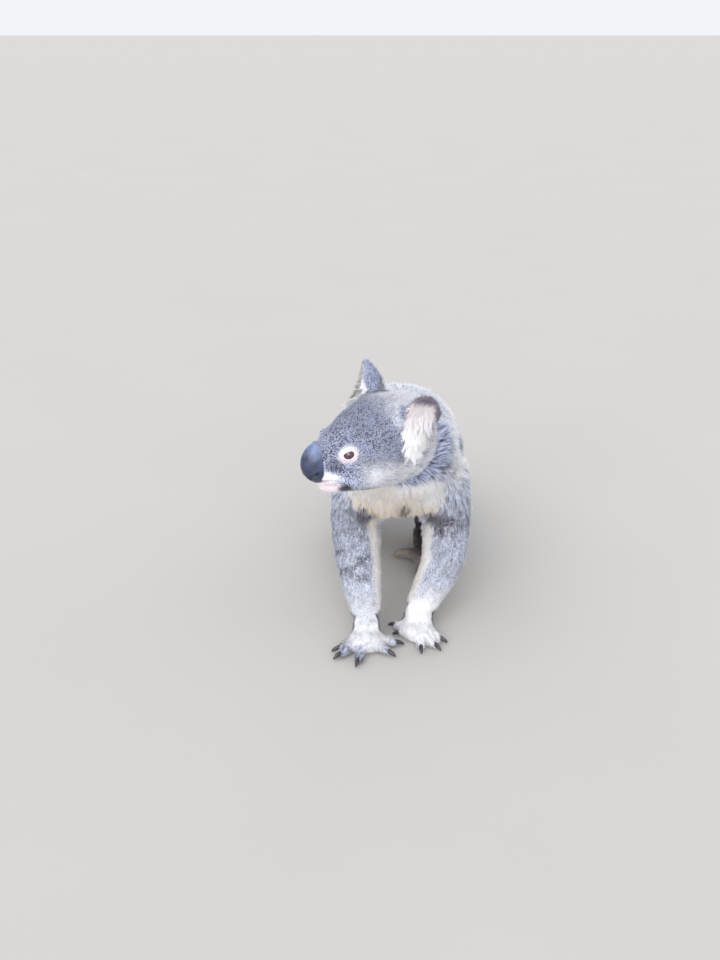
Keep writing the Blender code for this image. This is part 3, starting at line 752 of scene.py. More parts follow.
# The scales of the coat's patches and grain, and how strongly they and the tone of each lock show.
coatGrain = {"patches": 42, "fine": 720, "coarse": 290, "patchy": 1.2, "fineSwing": 5.2, "coarseSwing": 2.4,
             "pepper": 1.2, "ragged": 0.7}
# The grain of the surface itself: its scale, its strength and how deep it is in metres.
coatFibres = {"skin": (1300, 0.5, 0.0006), "locks": (2600, 0.25, 0.0002)}


def feed(tree, socket, value):
    # Joins another node's output to an input, or gives the input a plain value.
    if isinstance(value, bpy.types.NodeSocket):
        tree.links.new(value, socket)
    else:
        socket.default_value = value


def newNode(tree, kind, **settings):
    # A node in the next place of a grid. Each setting is one of its own, or else one of its inputs.
    node = tree.nodes.new(kind)
    row, column = divmod(len(tree.nodes), 6)
    node.location = (220 * column - 1600, 300 - 240 * row)
    for name, value in settings.items():
        if hasattr(node, name):
            setattr(node, name, value)
        else:
            feed(tree, node.inputs[name.replace("_", " ")], value)
    return node


def mixed(tree, factor, first, second, kind="RGBA"):
    # A mix of two colours, or of two numbers where the kind is FLOAT.
    node = newNode(tree, "ShaderNodeMix", data_type=kind)
    a, b, result = (6, 7, 2) if kind == "RGBA" else (2, 3, 0)
    for socket, value in zip((0, a, b), (factor, first, second)):
        feed(tree, node.inputs[socket], (*value, 1) if isinstance(value, tuple) else value)
    return node.outputs[result]


def reckoned(tree, operation, *values, clamp=False):
    node = newNode(tree, "ShaderNodeMath", operation=operation, use_clamp=clamp)
    for socket, value in zip(node.inputs, values):
        feed(tree, socket, value)
    return node.outputs[0]


def noise(tree, place, scale, detail=2.0, roughness=0.5):
    return newNode(tree, "ShaderNodeTexNoise", Vector=place, Scale=scale, Detail=detail,
                   Roughness=roughness).outputs["Fac"]


def ownPlace(tree):
    return newNode(tree, "ShaderNodeTexCoord").outputs["Object"]


def attribute(tree, name, output="Fac"):
    return newNode(tree, "ShaderNodeAttribute", attribute_name=name).outputs[output]


def roughen(tree, shader, height, strength, distance):
    bump = newNode(tree, "ShaderNodeBump", Height=height, Strength=strength, Distance=distance)
    tree.links.new(bump.outputs[0], shader.inputs["Normal"])


def coatColourGroup():
    # Grizzled grey with the white, dark, warm and pink markings laid over it.
    group = bpy.data.node_groups.new("coatColour", "ShaderNodeTree")
    for name in ("Place", "Own", "Tone", "Along", *markKinds):
        kind = "NodeSocketVector" if name in ("Place", "Own") else "NodeSocketFloat"
        group.interface.new_socket(name, in_out="INPUT", socket_type=kind)
    group.interface.new_socket("Color", in_out="OUTPUT", socket_type="NodeSocketColor")
    given = newNode(group, "NodeGroupInput").outputs
    place, tone = given["Place"], given["Tone"]
    paint = {name: linear(*value) for name, value in coatColours.items() if name not in ("root", "tip")}
    fine = noise(group, given["Own"], coatGrain["fine"], 1)
    fine = mixed(group, given["Coarse"], fine, noise(group, place, coatGrain["coarse"]), "FLOAT")
    patchy = noise(group, place, coatGrain["patches"], 3)
    patchy = reckoned(group, "MULTIPLY_ADD", patchy, coatGrain["patchy"], -0.03)
    swing = reckoned(group, "MULTIPLY_ADD", given["Coarse"], coatGrain["coarseSwing"], coatGrain["fineSwing"])
    grain = reckoned(group, "MULTIPLY", reckoned(group, "ADD", fine, -0.5), swing)
    pepper = reckoned(group, "MULTIPLY_ADD", tone, coatGrain["pepper"], -coatGrain["pepper"] / 2)
    shade = reckoned(group, "ADD", reckoned(group, "ADD", patchy, grain), pepper, clamp=True)
    colour = mixed(group, shade, paint["greyDark"], paint["greyLight"])
    edge = reckoned(group, "MULTIPLY_ADD", reckoned(group, "ADD", tone, fine), coatGrain["ragged"], 0.42)

    def share(kind):
        # Breaks the edge of a marking up from lock to lock.
        return reckoned(group, "MULTIPLY", given[kind], edge, clamp=True)

    warmWhite = mixed(group, share("Warm"), paint["white"], paint["warm"])
    colour = mixed(group, share("White"), colour, warmWhite)
    colour = mixed(group, share("Dark"), colour, paint["dark"])
    colour = mixed(group, given["Pink"], colour, paint["pink"])
    rise = newNode(group, "ShaderNodeMapRange", Value=given["Along"], From_Max=0.8,
                   To_Min=coatColours["root"], To_Max=coatColours["tip"])
    paler = reckoned(group, "MULTIPLY", given["White"], 0.9)
    depth = mixed(group, paler, rise.outputs[0], 1.0, "FLOAT")
    scaled = newNode(group, "ShaderNodeVectorMath", operation="SCALE", Scale=depth)
    group.links.new(colour, scaled.inputs[0])
    newNode(group, "NodeGroupOutput", Color=scaled.outputs[0])
    return group


coatColour = coatColourGroup()


def freshMaterial(name, roughness, **uniform):
    material = bpy.data.materials.new(name)
    material.use_nodes = True
    shader = material.node_tree.nodes["Principled BSDF"]
    shader.inputs["Roughness"].default_value = roughness
    for socket, value in uniform.items():
        shader.inputs[socket.replace("_", " ")].default_value = value
    return material, material.node_tree, shader


def furMaterial(name, onSkin):
    material, tree, shader = freshMaterial(name, 0.72, Sheen_Weight=0.35, Sheen_Roughness=0.4,
                                           Specular_IOR_Level=0.28)
    own = ownPlace(tree)
    given = {kind: attribute(tree, kind.lower() + "Share") for kind in markKinds}
    if onSkin:
        given.update(Place=own, Tone=noise(tree, own, 900), Along=0.42)
    else:
        given.update(Place=attribute(tree, "rootPlace", "Vector"), Tone=attribute(tree, "lockTone"),
                     Along=attribute(tree, "alongLock"))
    fibres, strength, height = coatFibres["skin" if onSkin else "locks"]
    group = newNode(tree, "ShaderNodeGroup", node_tree=coatColour, Own=own, **given)
    tree.links.new(group.outputs["Color"], shader.inputs["Base Color"])
    roughen(tree, shader, noise(tree, own, fibres, 3, 0.6), strength, height)
    return material


skinMaterial = furMaterial("skinFinish", True)
coatMaterial = furMaterial("coatFinish", False)
mesh.materials.clear()
mesh.materials.append(skinMaterial)

# The coat: solid three-sided locks, rooted in the skin and lying along the flow, gathered into clumps at
# their tips. Lengths are in metres and angles in degrees. A patch is a lock's place on the flat map.
coatSetup = {
    "seed": 41, "sink": 0.0007, "lift": (40, 6), "liftSpread": 9, "wander": 0.20, "lengthSpread": 0.24,
    "clumpEach": 34, "tuftEach": 12, "clumpPull": 0.45, "clumpReach": 0.012, "patch": 0.003,
    "widthBase": 0.00042, "widthShare": 0.050, "widthSpread": (0.75, 1.3), "roundness": 0.45, "roll": 0.6,
    "floor": 0.0004, "profilePlaces": (0, 0.35, 1), "profileWidths": (0.75, 1.0, 0.35),
}
triangleNormals = np.cross(skinPoints[skinFaces[:, 1]] - skinPoints[skinFaces[:, 0]],
                           skinPoints[skinFaces[:, 2]] - skinPoints[skinFaces[:, 0]])
triangleAreas = np.linalg.norm(triangleNormals, axis=1) / 2
faceOwners = skinOwners[skinFaces[:, 0]]
faceForward = toHead(skinPoints[skinFaces[:, 0]])[:, 0]


def bareShare():
    # 1 where the skin has no coat: the lids, the pad of the nose, the line of the mouth and the soles.
    at = toHead(skinPoints)
    bare = (skinOwners == "nose") * ease(beyondCoat(at), -1.0, 0.6)
    bare = np.maximum(bare, fade(mouthDistance(at), 0.8, 1.6))
    for side in sides:
        out, back, up = eyeAxes(side)
        local = (skinPoints - eyes[side]["centre"]) * 1000
        ring = np.hypot(local @ back / 1.15, local @ up)
        bare = np.maximum(bare, fade(ring, 6.8, 8.4) * (local @ out > -6))
    soles = ease(-skinNormals[:, 2], 0.3, 0.6) * (skinPoints[:, 2] < 0.006)
    return np.maximum(bare, soles)


skinBare = bareShare()


def unwrapped(faces):
    # A flat map of part of the skin by its own shape, as three corners for each of its triangles.
    used, renumbered = np.unique(faces, return_inverse=True)
    sheet = bpy.data.meshes.new("unwrap")
    sheet.from_pydata(skinPoints[used].tolist(), [], renumbered.reshape(-1, 3).tolist())
    holder = link("unwrap", sheet)
    sheet.uv_layers.new(name="map")
    bpy.context.view_layer.objects.active = holder
    for thing in bpy.context.selected_objects:
        thing.select_set(False)
    holder.select_set(True)
    bpy.ops.object.mode_set(mode="EDIT")
    bpy.ops.mesh.select_all(action="SELECT")
    bpy.ops.uv.smart_project(angle_limit=math.radians(72), island_margin=0.002)
    bpy.ops.object.mode_set(mode="OBJECT")
    places = np.empty(len(sheet.loops) * 2, np.float32)
    sheet.uv_layers[0].data.foreach_get("uv", places)
    bpy.data.objects.remove(holder)
    bpy.data.meshes.remove(sheet)
    return places.reshape(-1, 3, 2).astype(float)


def lockFaces(rings):
    # The triangles of one lock: its foot, its sides ring by ring, and its tip.
    faces = [(0, 1, 2)]
    for low in range(0, 3 * rings - 3, 3):
        for a, b in ((0, 1), (1, 2), (2, 0)):
            faces += [(low + b, low + a, low + 3 + a), (low + b, low + 3 + a, low + 3 + b)]
    last = 3 * (rings - 1)
    faces += [(last + b, last + a, 3 * rings) for a, b in ((0, 1), (1, 2), (2, 0))]
    return np.array(faces)


def lockMesh(name, paths, across, over, widths, roots, normals, tone, marks, rootMap):
    # Closed three-sided locks, shaded mostly as the skin under them. Each path runs from root to tip.
    count, rings = len(paths), paths.shape[1] - 1
    each = 3 * rings + 1
    steps = np.linspace(0, 1, rings, endpoint=False)
    profile = np.interp(steps, coatSetup["profilePlaces"], coatSetup["profileWidths"])
    verts, shading = np.empty((count, each, 3)), np.repeat(normals[:, None], each, 1)
    for ring in range(rings):
        half = (widths * profile[ring] / 2)[:, None]
        for corner, aside in enumerate((-across, across, over)):
            verts[:, 3 * ring + corner] = paths[:, ring] + aside * half * (0.8 if corner == 2 else 1)
            shading[:, 3 * ring + corner] += aside * coatSetup["roundness"]
    verts[:, -1] = paths[:, -1]
    faces = lockFaces(rings)
    # Turn the faces outwards: over, across and the path may be left-handed.
    a, b, c = verts[0, :3]
    if np.cross(b - a, c - a) @ (paths[0, 1] - paths[0, 0]) > 0:
        faces = faces[:, ::-1]
    verts[:, :, 2] = np.maximum(verts[:, :, 2], coatSetup["floor"])
    allFaces = (faces[None] + (np.arange(count) * each)[:, None, None]).reshape(-1, 3)
    made = bpy.data.meshes.new(name)
    made.vertices.add(count * each)
    store(made.vertices, "co", verts)
    made.loops.add(allFaces.size)
    made.loops.foreach_set("vertex_index", allFaces.astype(np.int32).ravel())
    made.polygons.add(len(allFaces))
    made.polygons.foreach_set("loop_start", np.arange(0, allFaces.size, 3, dtype=np.int32))
    shadeSmooth(made)
    made.update(calc_edges=True)
    made.normals_split_custom_set_from_vertices(unit(shading).reshape(-1, 3).tolist())
    along = np.append(np.repeat(np.arange(rings) / rings, 3), 1.0)
    aside = np.append(np.tile((-0.5, 0.5, 0.0), rings), 0.0)
    spot = rootMap[:, None, :] + coatSetup["patch"] * np.stack((aside, along - 0.5), 1)[None]
    spot = np.clip(spot, 0.0005, 0.9995).reshape(-1, 2)
    store(made.uv_layers.new(name="OFBake").data, "uv", spot[allFaces.ravel()])
    giveValues(made, {"alongLock": np.tile(along, count), "lockTone": np.repeat(tone, each)})
    place = made.attributes.new("rootPlace", "FLOAT_VECTOR", "POINT")
    store(place.data, "vector", np.repeat(roots, each, 0))
    marks = np.repeat(marks, each, 0)
    if "arm" in name:
        # Painted shade in each arm crease, laid where each point of the lock lies.
        creaseShade = armCreaseDepthAndShade(verts.reshape(-1, 3), np.repeat(normals, each, 0))
        marks[:, 1] = np.maximum(marks[:, 1] * 0.85, creaseShade)
    giveMarks(made, marks)
    return made


def curvePaths(roots, normals, flows, lengths, lifts, rings):
    # Each path leaves the skin steeply and turns to lie along it.
    steps = np.append(np.arange(rings) / rings, 1.0)
    first = np.cos(lifts[0])[:, None] * flows + np.sin(lifts[0])[:, None] * normals
    last = np.cos(lifts[1])[:, None] * flows + np.sin(lifts[1])[:, None] * normals
    t = steps[None, :, None]
    moved = first[:, None] * (t - t * t / 2) + last[:, None] * (t * t / 2)
    return (roots - normals * coatSetup["sink"])[:, None] + moved * lengths[:, None, None], steps


def growCoat(name, owners, locks, rings=1, share=None, length=None, flow=None, lift=None, plump=1.0, pull=1.0,
             tint=None, ahead=-1000, behind=1000):
    # Locks on the skin of the named parts, most where share is high. length, flow and tint may replace the
    # coat's own.
    rng = np.random.default_rng(coatSetup["seed"] + sum(map(ord, name)))
    chosen = np.isin(faceOwners, owners) & (faceForward >= ahead) & (faceForward < behind)
    faces = skinFaces[chosen]
    lengthField = (skinLength if length is None else length) / 1000
    flowField = skinFlow if flow is None else flow
    shareField = (1 - skinBare) if share is None else share
    size = lengthField[faces].mean(1)
    width = coatSetup["widthBase"] + coatSetup["widthShare"] * size
    weight = triangleAreas[chosen] / (size * width) ** 0.85 * shareField[faces].mean(1)
    wanted = weight / weight.sum() * locks
    counts = np.floor(wanted + rng.random(len(wanted))).astype(int)
    pick = np.repeat(np.arange(len(faces)), counts)
    total = len(pick)
    u, v = rng.random(total), rng.random(total)
    over = u + v > 1
    u[over], v[over] = 1 - u[over], 1 - v[over]
    corner = np.stack((1 - u - v, u, v), 1)

    def at(values):
        return (values[faces[pick]] * corner.reshape((total, 3) + (1,) * (values.ndim - 1))).sum(1)

    keep = rng.random(total) < at(shareField) * 1.6 - 0.1
    pick, corner = pick[keep], corner[keep]
    total = len(pick)
    roots, normals, flows = at(skinPoints), unit(at(skinNormals)), at(flowField)
    marks, lengths = at(skinMarks if tint is None else tint), at(lengthField)
    if flow is None:
        flows = flat(flows, normals)
    flows = unit(flows)
    aside = np.cross(normals, flows)
    # Clumps: every so many locks one leads, and its neighbours lean towards it.
    leaders = np.arange(0, total, coatSetup["clumpEach" if rings == 1 else "tuftEach"])
    rng.shuffle(leaders)
    tree = KDTree(len(leaders))
    for i, leader in enumerate(leaders):
        tree.insert(roots[leader], i)
    tree.balance()
    mine = leaders[np.array([tree.find(p)[1] for p in roots.tolist()])]
    swing = rng.normal(0, coatSetup["wander"], total)
    swing = 0.55 * swing + 0.9 * swing[mine]
    flows = unit(flows * np.cos(swing)[:, None] + aside * np.sin(swing)[:, None])
    spreadLift = math.radians(coatSetup["liftSpread"])
    startLift, endLift = map(math.radians, lift or coatSetup["lift"])
    startLift = startLift + rng.normal(0, spreadLift, total) * 0.6
    startLift = startLift + rng.normal(0, spreadLift, total)[mine] * 0.6
    endLift = endLift + rng.normal(0, spreadLift, total) * 0.5
    lengths = lengths * (1 + rng.uniform(-1, 1, total) * coatSetup["lengthSpread"])
    lengths = lengths * (1 + 0.12 * rng.uniform(-1, 1, total)[mine])
    paths, steps = curvePaths(roots, normals, flows, lengths, (startLift, endLift), rings)
    leaderLifts = (startLift[mine], endLift[mine])
    leading, _ = curvePaths(roots[mine], normals[mine], flows[mine], lengths, leaderLifts, rings)
    near = np.linalg.norm(roots - roots[mine], axis=1) < coatSetup["clumpReach"]
    agree = ease((normals * normals[mine]).sum(1), 0.3, 0.8) * near
    draw = agree * coatSetup["clumpPull"] * pull * rng.uniform(0.5, 1.3, total) * ease(lengths, 0.003, 0.012)
    draw = draw[:, None, None] * (steps**1.3)[None, :, None]
    paths = paths * (1 - draw) + leading * draw
    widths = (coatSetup["widthBase"] + coatSetup["widthShare"] * lengths) * plump
    widths = widths * rng.uniform(*coatSetup["widthSpread"], total)
    direction = unit(paths[:, -1] - paths[:, 0])
    roll = rng.uniform(-coatSetup["roll"], coatSetup["roll"], total)[:, None]
    across = unit(np.cross(direction, normals))
    upwards = np.cross(across, direction)
    rolled = across * np.cos(roll) + upwards * np.sin(roll)
    upwards = upwards * np.cos(roll) - across * np.sin(roll)
    tone = np.clip(0.5 + rng.normal(0, 0.24, total) + rng.normal(0, 0.14, total)[mine], 0, 1)
    flatMap = unwrapped(faces)
    rootMap = (flatMap[pick] * corner[:, :, None]).sum(1)
    made = lockMesh(name, paths, rolled, upwards, widths, roots, normals, tone, marks, rootMap)
    made.materials.append(coatMaterial)
    piece = link(name, made)
    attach(piece, "root")
    print(name + ":", total, "locks,", len(made.polygons), "triangles,", round(weight.sum()), "weight")
    return piece


# The pieces of the coat: the parts that each grows on and the number of its locks. Ahead and behind part the
# two pieces on the head, in millimetres forward, and pull is how much the locks gather.
coatPieces = {
    "coat_face": {"owners": ("head", "jaw", "nose", "eye_left", "eye_right"), "locks": 47000, "ahead": 44,
                  "pull": 0.6},
    "coat_crown": {"owners": ("head", "jaw"), "locks": 30000, "behind": 44, "pull": 0.6},
    "coat_neck": {"owners": ("neck",), "locks": 20000},
    "coat_chest": {"owners": ("chest",), "locks": 26000},
    "coat_belly": {"owners": ("belly",), "locks": 30000},
    "coat_rump": {"owners": ("rump",), "locks": 26000},
    "coat_arm_left": {"owners": ("upper_arm_left", "forearm_left"), "locks": 32000},
    "coat_arm_right": {"owners": ("upper_arm_right", "forearm_right"), "locks": 32000},
    "coat_leg_left": {"owners": ("thigh_left", "shin_left"), "locks": 22000},
    "coat_leg_right": {"owners": ("thigh_right", "shin_right"), "locks": 22000},
    "coat_hands": {"owners": ("hand_left", "hand_right"), "locks": 33000},
    "coat_feet": {"owners": ("foot_left", "foot_right"), "locks": 26000},
    "coat_ears": {"owners": ("ear_left", "ear_right"), "locks": 14000},
}
for name, plan in coatPieces.items():
    growCoat(name, **plan)

# The long hair of the ears, in millimetres: how long it is on the ear, what the hollow and the low edge
# add, and how long it is in the tuft below.
earHairSetup = {"locks": 13500, "length": 4.5, "hollow": 2, "low": 11, "tuft": 17}


def earHair():
    # Long hair round the edge of each ear, across its hollow, and hanging below it on the side of the head.
    share, length = np.zeros(len(skinPoints)), np.full(len(skinPoints), 6.0)
    flow, tint = skinFlow.copy(), np.zeros((len(skinPoints), 5))
    for side, sign in sides.items():
        isNear, isEar = sign > 0, skinOwners == "ear_" + side
        local, turn = earPlace(skinPoints, sign)
        across, up = local[:, 1], local[:, 2]
        forward, outward, upward = (turn * (1, sign, 1)).T @ headAxes.T
        fromMiddle = np.hypot(across, up)
        around = unit(across[:, None] * outward + up[:, None] * upward)
        edge, low = ease(fromMiddle, 0.52, 0.70), ease(-up, -0.1, 0.7)
        hollow = ease(skinNormals @ forward, 0.1, 0.5)
        top = np.maximum(ease(up + 0.15 * across, 0.15, 0.5), ease(across, 0.45, 0.75) * (1 - low))
        outer = ease(across, 0.15, 0.5) * ease(up, -0.75, -0.35) * isNear
        hair = np.maximum(edge * (0.35 + 0.65 * low), hollow * (0.25 + 0.75 * low)) * (1 - 0.75 * outer)
        share = np.where(isEar, hair * (1 if isNear else 1.8), share)
        onEar = earHairSetup["length"] + earHairSetup["hollow"] * hollow * (1 - top)
        length = np.where(isEar, onEar + earHairSetup["low"] * low, length)
        fall = around * (0.75 - 0.65 * low)[:, None] + forward * (0.5 * hollow * (1 - 0.6 * edge))[:, None]
        fall -= np.array((0, 0, 1)) * (0.15 + 1.2 * low * (1 if isNear else 0.35))[:, None]
        fall += headAxes[:, 0] * ((0 if isNear else 1.3) * hollow)[:, None]
        flow = np.where(isEar[:, None], unit(fall), flow)
        tuft = patch(toHead(skinPoints), (11, 57 * sign, 10), (11, 14, 16), 0.7, 1.1) * (skinOwners == "head")
        share = np.maximum(share, tuft)
        length = np.where(tuft > 0.05, earHairSetup["tuft"], length)
        hang = unit(skinNormals * 0.30 - np.array((0, 0, 1.0)) + 0.42 * headAxes[:, 0])
        flow = np.where((tuft > 0.05)[:, None], hang, flow)
        dark = 0.55 * top * ease(fromMiddle, 0.3, 0.5) * isNear * isEar
        front = 1 - 0.85 * ease(across, -0.1, 0.4) * isNear
        if not isNear:
            hollow = np.maximum(hollow, ease(-across, 0.3, 0.6))
        pale = np.where(isEar, np.maximum(hollow, low) * (1 - dark) * (front * low + 1 - low), tuft)
        blush = 0.24 * hollow * (1 - low) * (1 - top) * isEar
        mine = isEar | (tuft > 0.01)
        tint[mine] = np.stack((pale, dark, np.zeros(len(pale)), blush, np.full(len(pale), 0.5)), 1)[mine]
    return {"share": share, "length": length, "flow": flow, "tint": tint}


growCoat("coat_ear_hair", ("ear_left", "ear_right", "head"), earHairSetup["locks"], rings=2, lift=(20, 4),
         plump=0.62, **earHair())
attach(skin, "root")
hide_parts(*fleshNames)

# The eyes: a wet ball with a brown iris and an upright pupil.
eyeSetup = {"iris": 0.0052, "pupil": (0.0009, 0.0034), "cornea": 0.0006, "corneaShare": 1.15, "segments": 64}
# Its colours from the middle of the iris outwards, the first and the last of them named first.
eyeColours = {
    "iris": [(0.0, (44, 26, 34)), (1.0, (228, 208, 212)), (0.45, (80, 46, 56)), (0.72, (50, 30, 40)),
             (0.80, (26, 16, 22)), (0.90, (170, 140, 148))],
    "pupil": (0.004, 0.003, 0.004), "streaks": 900, "mottling": 0.16,
}


def eyePiece(side):
    out, back, up = eyeAxes(side)
    eye, dome = eyes[side], eyeSetup["iris"] * eyeSetup["corneaShare"]
    bm = bmesh.new()
    bmesh.ops.create_uvsphere(bm, u_segments=eyeSetup["segments"], v_segments=eyeSetup["segments"] // 2,
                              radius=eye["radius"])
    for vert in bm.verts:
        aside = math.hypot(vert.co.x, vert.co.y)
        if vert.co.z > 0 and aside < dome:
            vert.co.z += eyeSetup["cornea"] * math.cos(aside / dome * math.pi / 2) ** 1.5
    turn = Matrix((back, up, out)).transposed().to_4x4()
    bm.transform(Matrix.Translation(eye["centre"]) @ turn)
    bmesh.ops.recalc_face_normals(bm, faces=bm.faces)
    made = meshOf(bm, "eyeball_" + side)
    shadeSmooth(made)
    points = numbersOf(made.vertices, "co", 3) - eye["centre"]
    h, v = points @ back, points @ up
    giveValues(made, {"irisAway": np.where(points @ out > 0, np.hypot(h, v), 0.02),
                      "slitAway": np.hypot(h / eyeSetup["pupil"][0], v / eyeSetup["pupil"][1])})
    return made


def ramp(tree, source, stops):
    node = newNode(tree, "ShaderNodeValToRGB")
    tree.links.new(source, node.inputs[0])
    points = node.color_ramp.elements
    for index, (place, colour) in enumerate(stops):
        point = points[index] if index < 2 else points.new(place)
        point.position, point.color = place, (*linear(*colour), 1)
    return node.outputs["Color"]


def eyeMaterial():
    material, tree, shader = freshMaterial("eyeFinish", 0.06, Coat_Weight=1.0, Coat_Roughness=0.02)
    streaks = noise(tree, ownPlace(tree), eyeColours["streaks"], 4, 0.7)
    mottled = reckoned(tree, "MULTIPLY_ADD", streaks, eyeColours["mottling"], -eyeColours["mottling"] / 2)
    ring = reckoned(tree, "MULTIPLY", attribute(tree, "irisAway"), 1 / eyeSetup["iris"])
    ring = reckoned(tree, "ADD", ring, mottled)
    iris = ramp(tree, reckoned(tree, "MULTIPLY", ring, 0.8, clamp=True), eyeColours["iris"])
    inSlit = reckoned(tree, "LESS_THAN", attribute(tree, "slitAway"), 1.0)
    tree.links.new(mixed(tree, inSlit, iris, eyeColours["pupil"]), shader.inputs["Base Color"])
    return material


eyeFinish = eyeMaterial()
for side in sides:
    made = eyePiece(side)
    made.materials.append(eyeFinish)
    piece = link("eyeball_" + side, made)
    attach(piece, "root")
    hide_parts("eye_" + side)
print("eyes made")

# The nostrils, in millimetres: a short slit on each side that curls back and up from the lower side of
# the pad.
nostrilSetup = {
    "slit": ((19.0, 8.0, -12.2), (17.0, 10.8, -10.8), (13.5, 13.2, -9.0), (11.0, 14.2, -6.0)), "width": 1.6,
    "depth": 3.2, "rimPlace": 3.2, "rimWidth": 1.5, "rimRise": 0.7, "grooveWidth": 1.6, "grooveDepth": 0.8,
}
# The pad's colours below and above, from the dark to the pale of its blotches, the paler upper ones being a
# painted highlight; the near-black of the nostrils' pits, a painted shade; and the scales of its grain.
noseColours = {
    "under": [(0.25, (24, 27, 42)), (0.8, (60, 72, 106))],
    "over": [(0.25, (70, 82, 114)), (0.8, (115, 132, 174))],
    "pit": (12, 9, 10), "blotches": 120, "leather": 1100,
}


def nosePiece():
    # A leathery pad, broad below, with a comma-shaped nostril on each side and a groove between them.
    bm = bmesh.new()
    bmesh.ops.create_uvsphere(bm, u_segments=padShape["segments"], v_segments=padShape["segments"] * 2 // 3,
                              radius=1)
    bm.transform(Matrix.Rotation(math.radians(90), 4, "Y"))
    bmesh.ops.recalc_face_normals(bm, faces=bm.faces)
    made = meshOf(bm, "nose_pad")
    ball = numbersOf(made.vertices, "co", 3)
    shape = ball * padShape["reach"]
    shape[:, 1] *= 0.90 + 0.12 * ease(-ball[:, 2], -0.6, 0.7)
    slit = segmentDistance(folded(shape), nostrilSetup["slit"])
    pit = bell(slit, nostrilSetup["width"])
    rim = bell(slit - nostrilSetup["rimPlace"], nostrilSetup["rimWidth"])
    groove = bell(shape[:, 1], nostrilSetup["grooveWidth"]) * ease(-ball[:, 2], 0.1, 0.6) * (ball[:, 0] > 0)
    rise = nostrilSetup["rimRise"] * rim - nostrilSetup["depth"] * pit - nostrilSetup["grooveDepth"] * groove
    shape += unit(ball / padShape["reach"]) * rise[:, None]
    lean = np.array(Matrix.Rotation(math.radians(-padShape["lean"]), 3, "Y"))
    store(made.vertices, "co", fromHead(shape @ lean.T + padShape["centre"]))
    shadeSmooth(made)
    # Painted highlight: the upper, back side of the pad is painted paler, but not in the nostrils.
    light = ease(ball[:, 2] - 0.5 * ball[:, 0], -0.1, 0.75) * (1 - pit)
    giveValues(made, {"nostril": pit, "upperPad": light})
    made.update()
    return made


def noseMaterial():
    material, tree, shader = freshMaterial("noseFinish", 0.42, Coat_Weight=0.15, Coat_Roughness=0.3)
    place = ownPlace(tree)
    blotch = noise(tree, place, noseColours["blotches"], 3)
    under, over = (ramp(tree, blotch, noseColours[part]) for part in ("under", "over"))
    # The painted highlight pales the upper pad, and painted shade darkens the pits of the nostrils.
    colour = mixed(tree, attribute(tree, "upperPad"), under, over)
    colour = mixed(tree, attribute(tree, "nostril"), colour, linear(*noseColours["pit"]))
    tree.links.new(colour, shader.inputs["Base Color"])
    leather = newNode(tree, "ShaderNodeTexVoronoi", feature="DISTANCE_TO_EDGE", Vector=place,
                      Scale=noseColours["leather"])
    roughen(tree, shader, leather.outputs["Distance"], 0.45, 0.00025)
    gloss = reckoned(tree, "MULTIPLY_ADD", blotch, 0.25, 0.28)
    tree.links.new(gloss, shader.inputs["Roughness"])
    return material


noseMesh = nosePiece()
noseMesh.materials.append(noseMaterial())
nosePad = link("nose_pad", noseMesh)
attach(nosePad, "root")
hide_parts("nose")
print("nose made")

# Claws: smooth horn, streaked lighter.
clawSetup = {"subdivisions": 2, "swell": 0.0013, "streaks": 600,
             "colours": [(0.3, (22, 19, 22)), (0.75, (64, 56, 60))]}


def clawMaterial():
    material, tree, shader = freshMaterial("clawFinish", 0.34, Coat_Weight=0.25, Coat_Roughness=0.2)
    streak = noise(tree, ownPlace(tree), clawSetup["streaks"], 4, 0.7)
    tree.links.new(ramp(tree, streak, clawSetup["colours"]), shader.inputs["Base Color"])
    roughen(tree, shader, streak, 0.3, 0.0002)
    return material


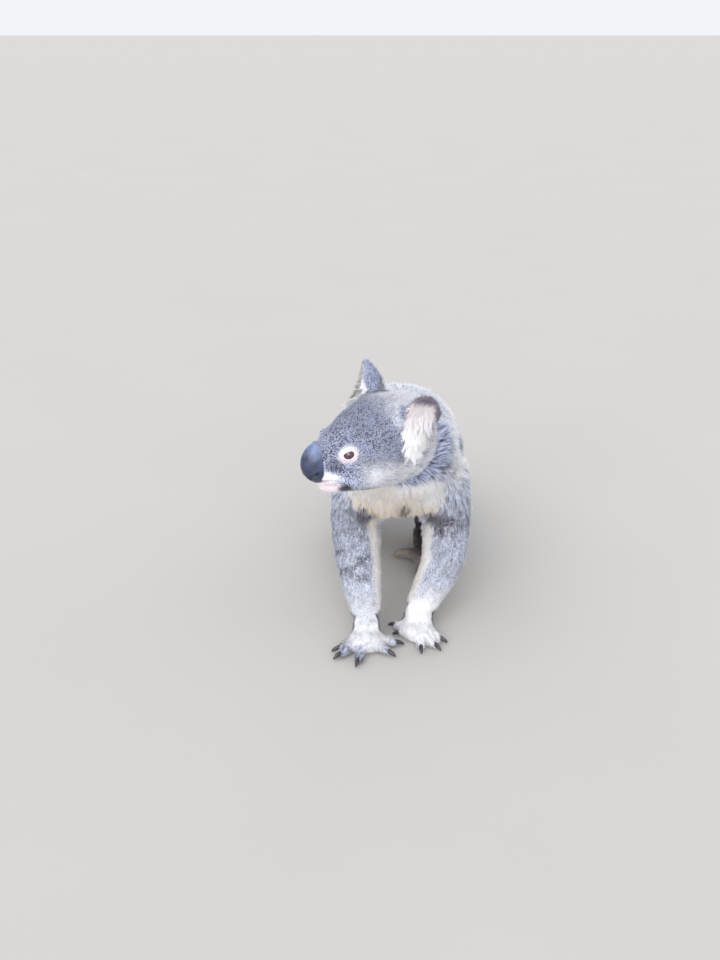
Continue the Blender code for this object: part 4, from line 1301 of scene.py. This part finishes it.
clawFinish = clawMaterial()
for node in sorted(n for n in nodes if n.startswith("claw")):
    piece = link(node.replace("claw_", "nail_"), mergedCopy([node], node + "_horn"))
    swell = piece.modifiers.new("swell", "DISPLACE")
    swell.strength, swell.mid_level = clawSetup["swell"], 0
    smooth = piece.modifiers.new("smooth", "SUBSURF")
    smooth.levels = smooth.render_levels = clawSetup["subdivisions"]
    made = applied(piece)
    shadeSmooth(made)
    made.materials.clear()
    made.materials.append(clawFinish)
    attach(piece, "root")
    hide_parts(node)
print("claws made")

# A plain pale floor and soft studio light. Sizes are in metres and angles in degrees.
studio = {
    "floor": (180, 177, 174), "floorReach": 40, "world": (0.93, 0.96, 1.0), "worldStrength": 0.95,
    "suns": {
        "key": {"turn": (28, -16, 0), "angle": 55, "power": 1.5},
        "fill": {"turn": (76, 6, -10), "angle": 70, "power": 2.8},
    },
}


def floorMaterial():
    material, tree, shader = freshMaterial("floorFinish", 0.85)
    pale = linear(*studio["floor"])
    cloudy = mixed(tree, noise(tree, ownPlace(tree), 3, 3), tuple(c * 0.95 for c in pale), pale)
    tree.links.new(cloudy, shader.inputs["Base Color"])
    return material


reach = studio["floorReach"]
floorMesh = bpy.data.meshes.new("floor")
floorMesh.from_pydata([(x * reach, y * reach, 0) for x, y in ((-1, -1), (1, -1), (1, 1), (-1, 1))], [],
                      [(0, 1, 2, 3)])
floorMesh.materials.append(floorMaterial())
floor = link("floor", floorMesh)

world = bpy.data.worlds.new("studio")
world.use_nodes = True
background = world.node_tree.nodes["Background"]
background.inputs["Color"].default_value = (*studio["world"], 1)
background.inputs["Strength"].default_value = studio["worldStrength"]
bpy.context.scene.world = world
for name, sun in studio["suns"].items():
    light = bpy.data.lights.new(name, "SUN")
    light.energy, light.angle = sun["power"], math.radians(sun["angle"])
    link(name, light).rotation_euler = tuple(map(math.radians, sun["turn"]))

view = {"place": (-0.04655, -1.237124, 0.74), "tilt": 65, "lens": 37.5, "sensor": 36}
camera = link("camera", bpy.data.cameras.new("camera"))
camera.location = view["place"]
camera.rotation_euler = (math.radians(view["tilt"]), 0, 0)
camera.data.lens, camera.data.sensor_width = view["lens"], view["sensor"]
bpy.context.scene.camera = camera
bpy.context.scene.view_settings.view_transform = "Standard"
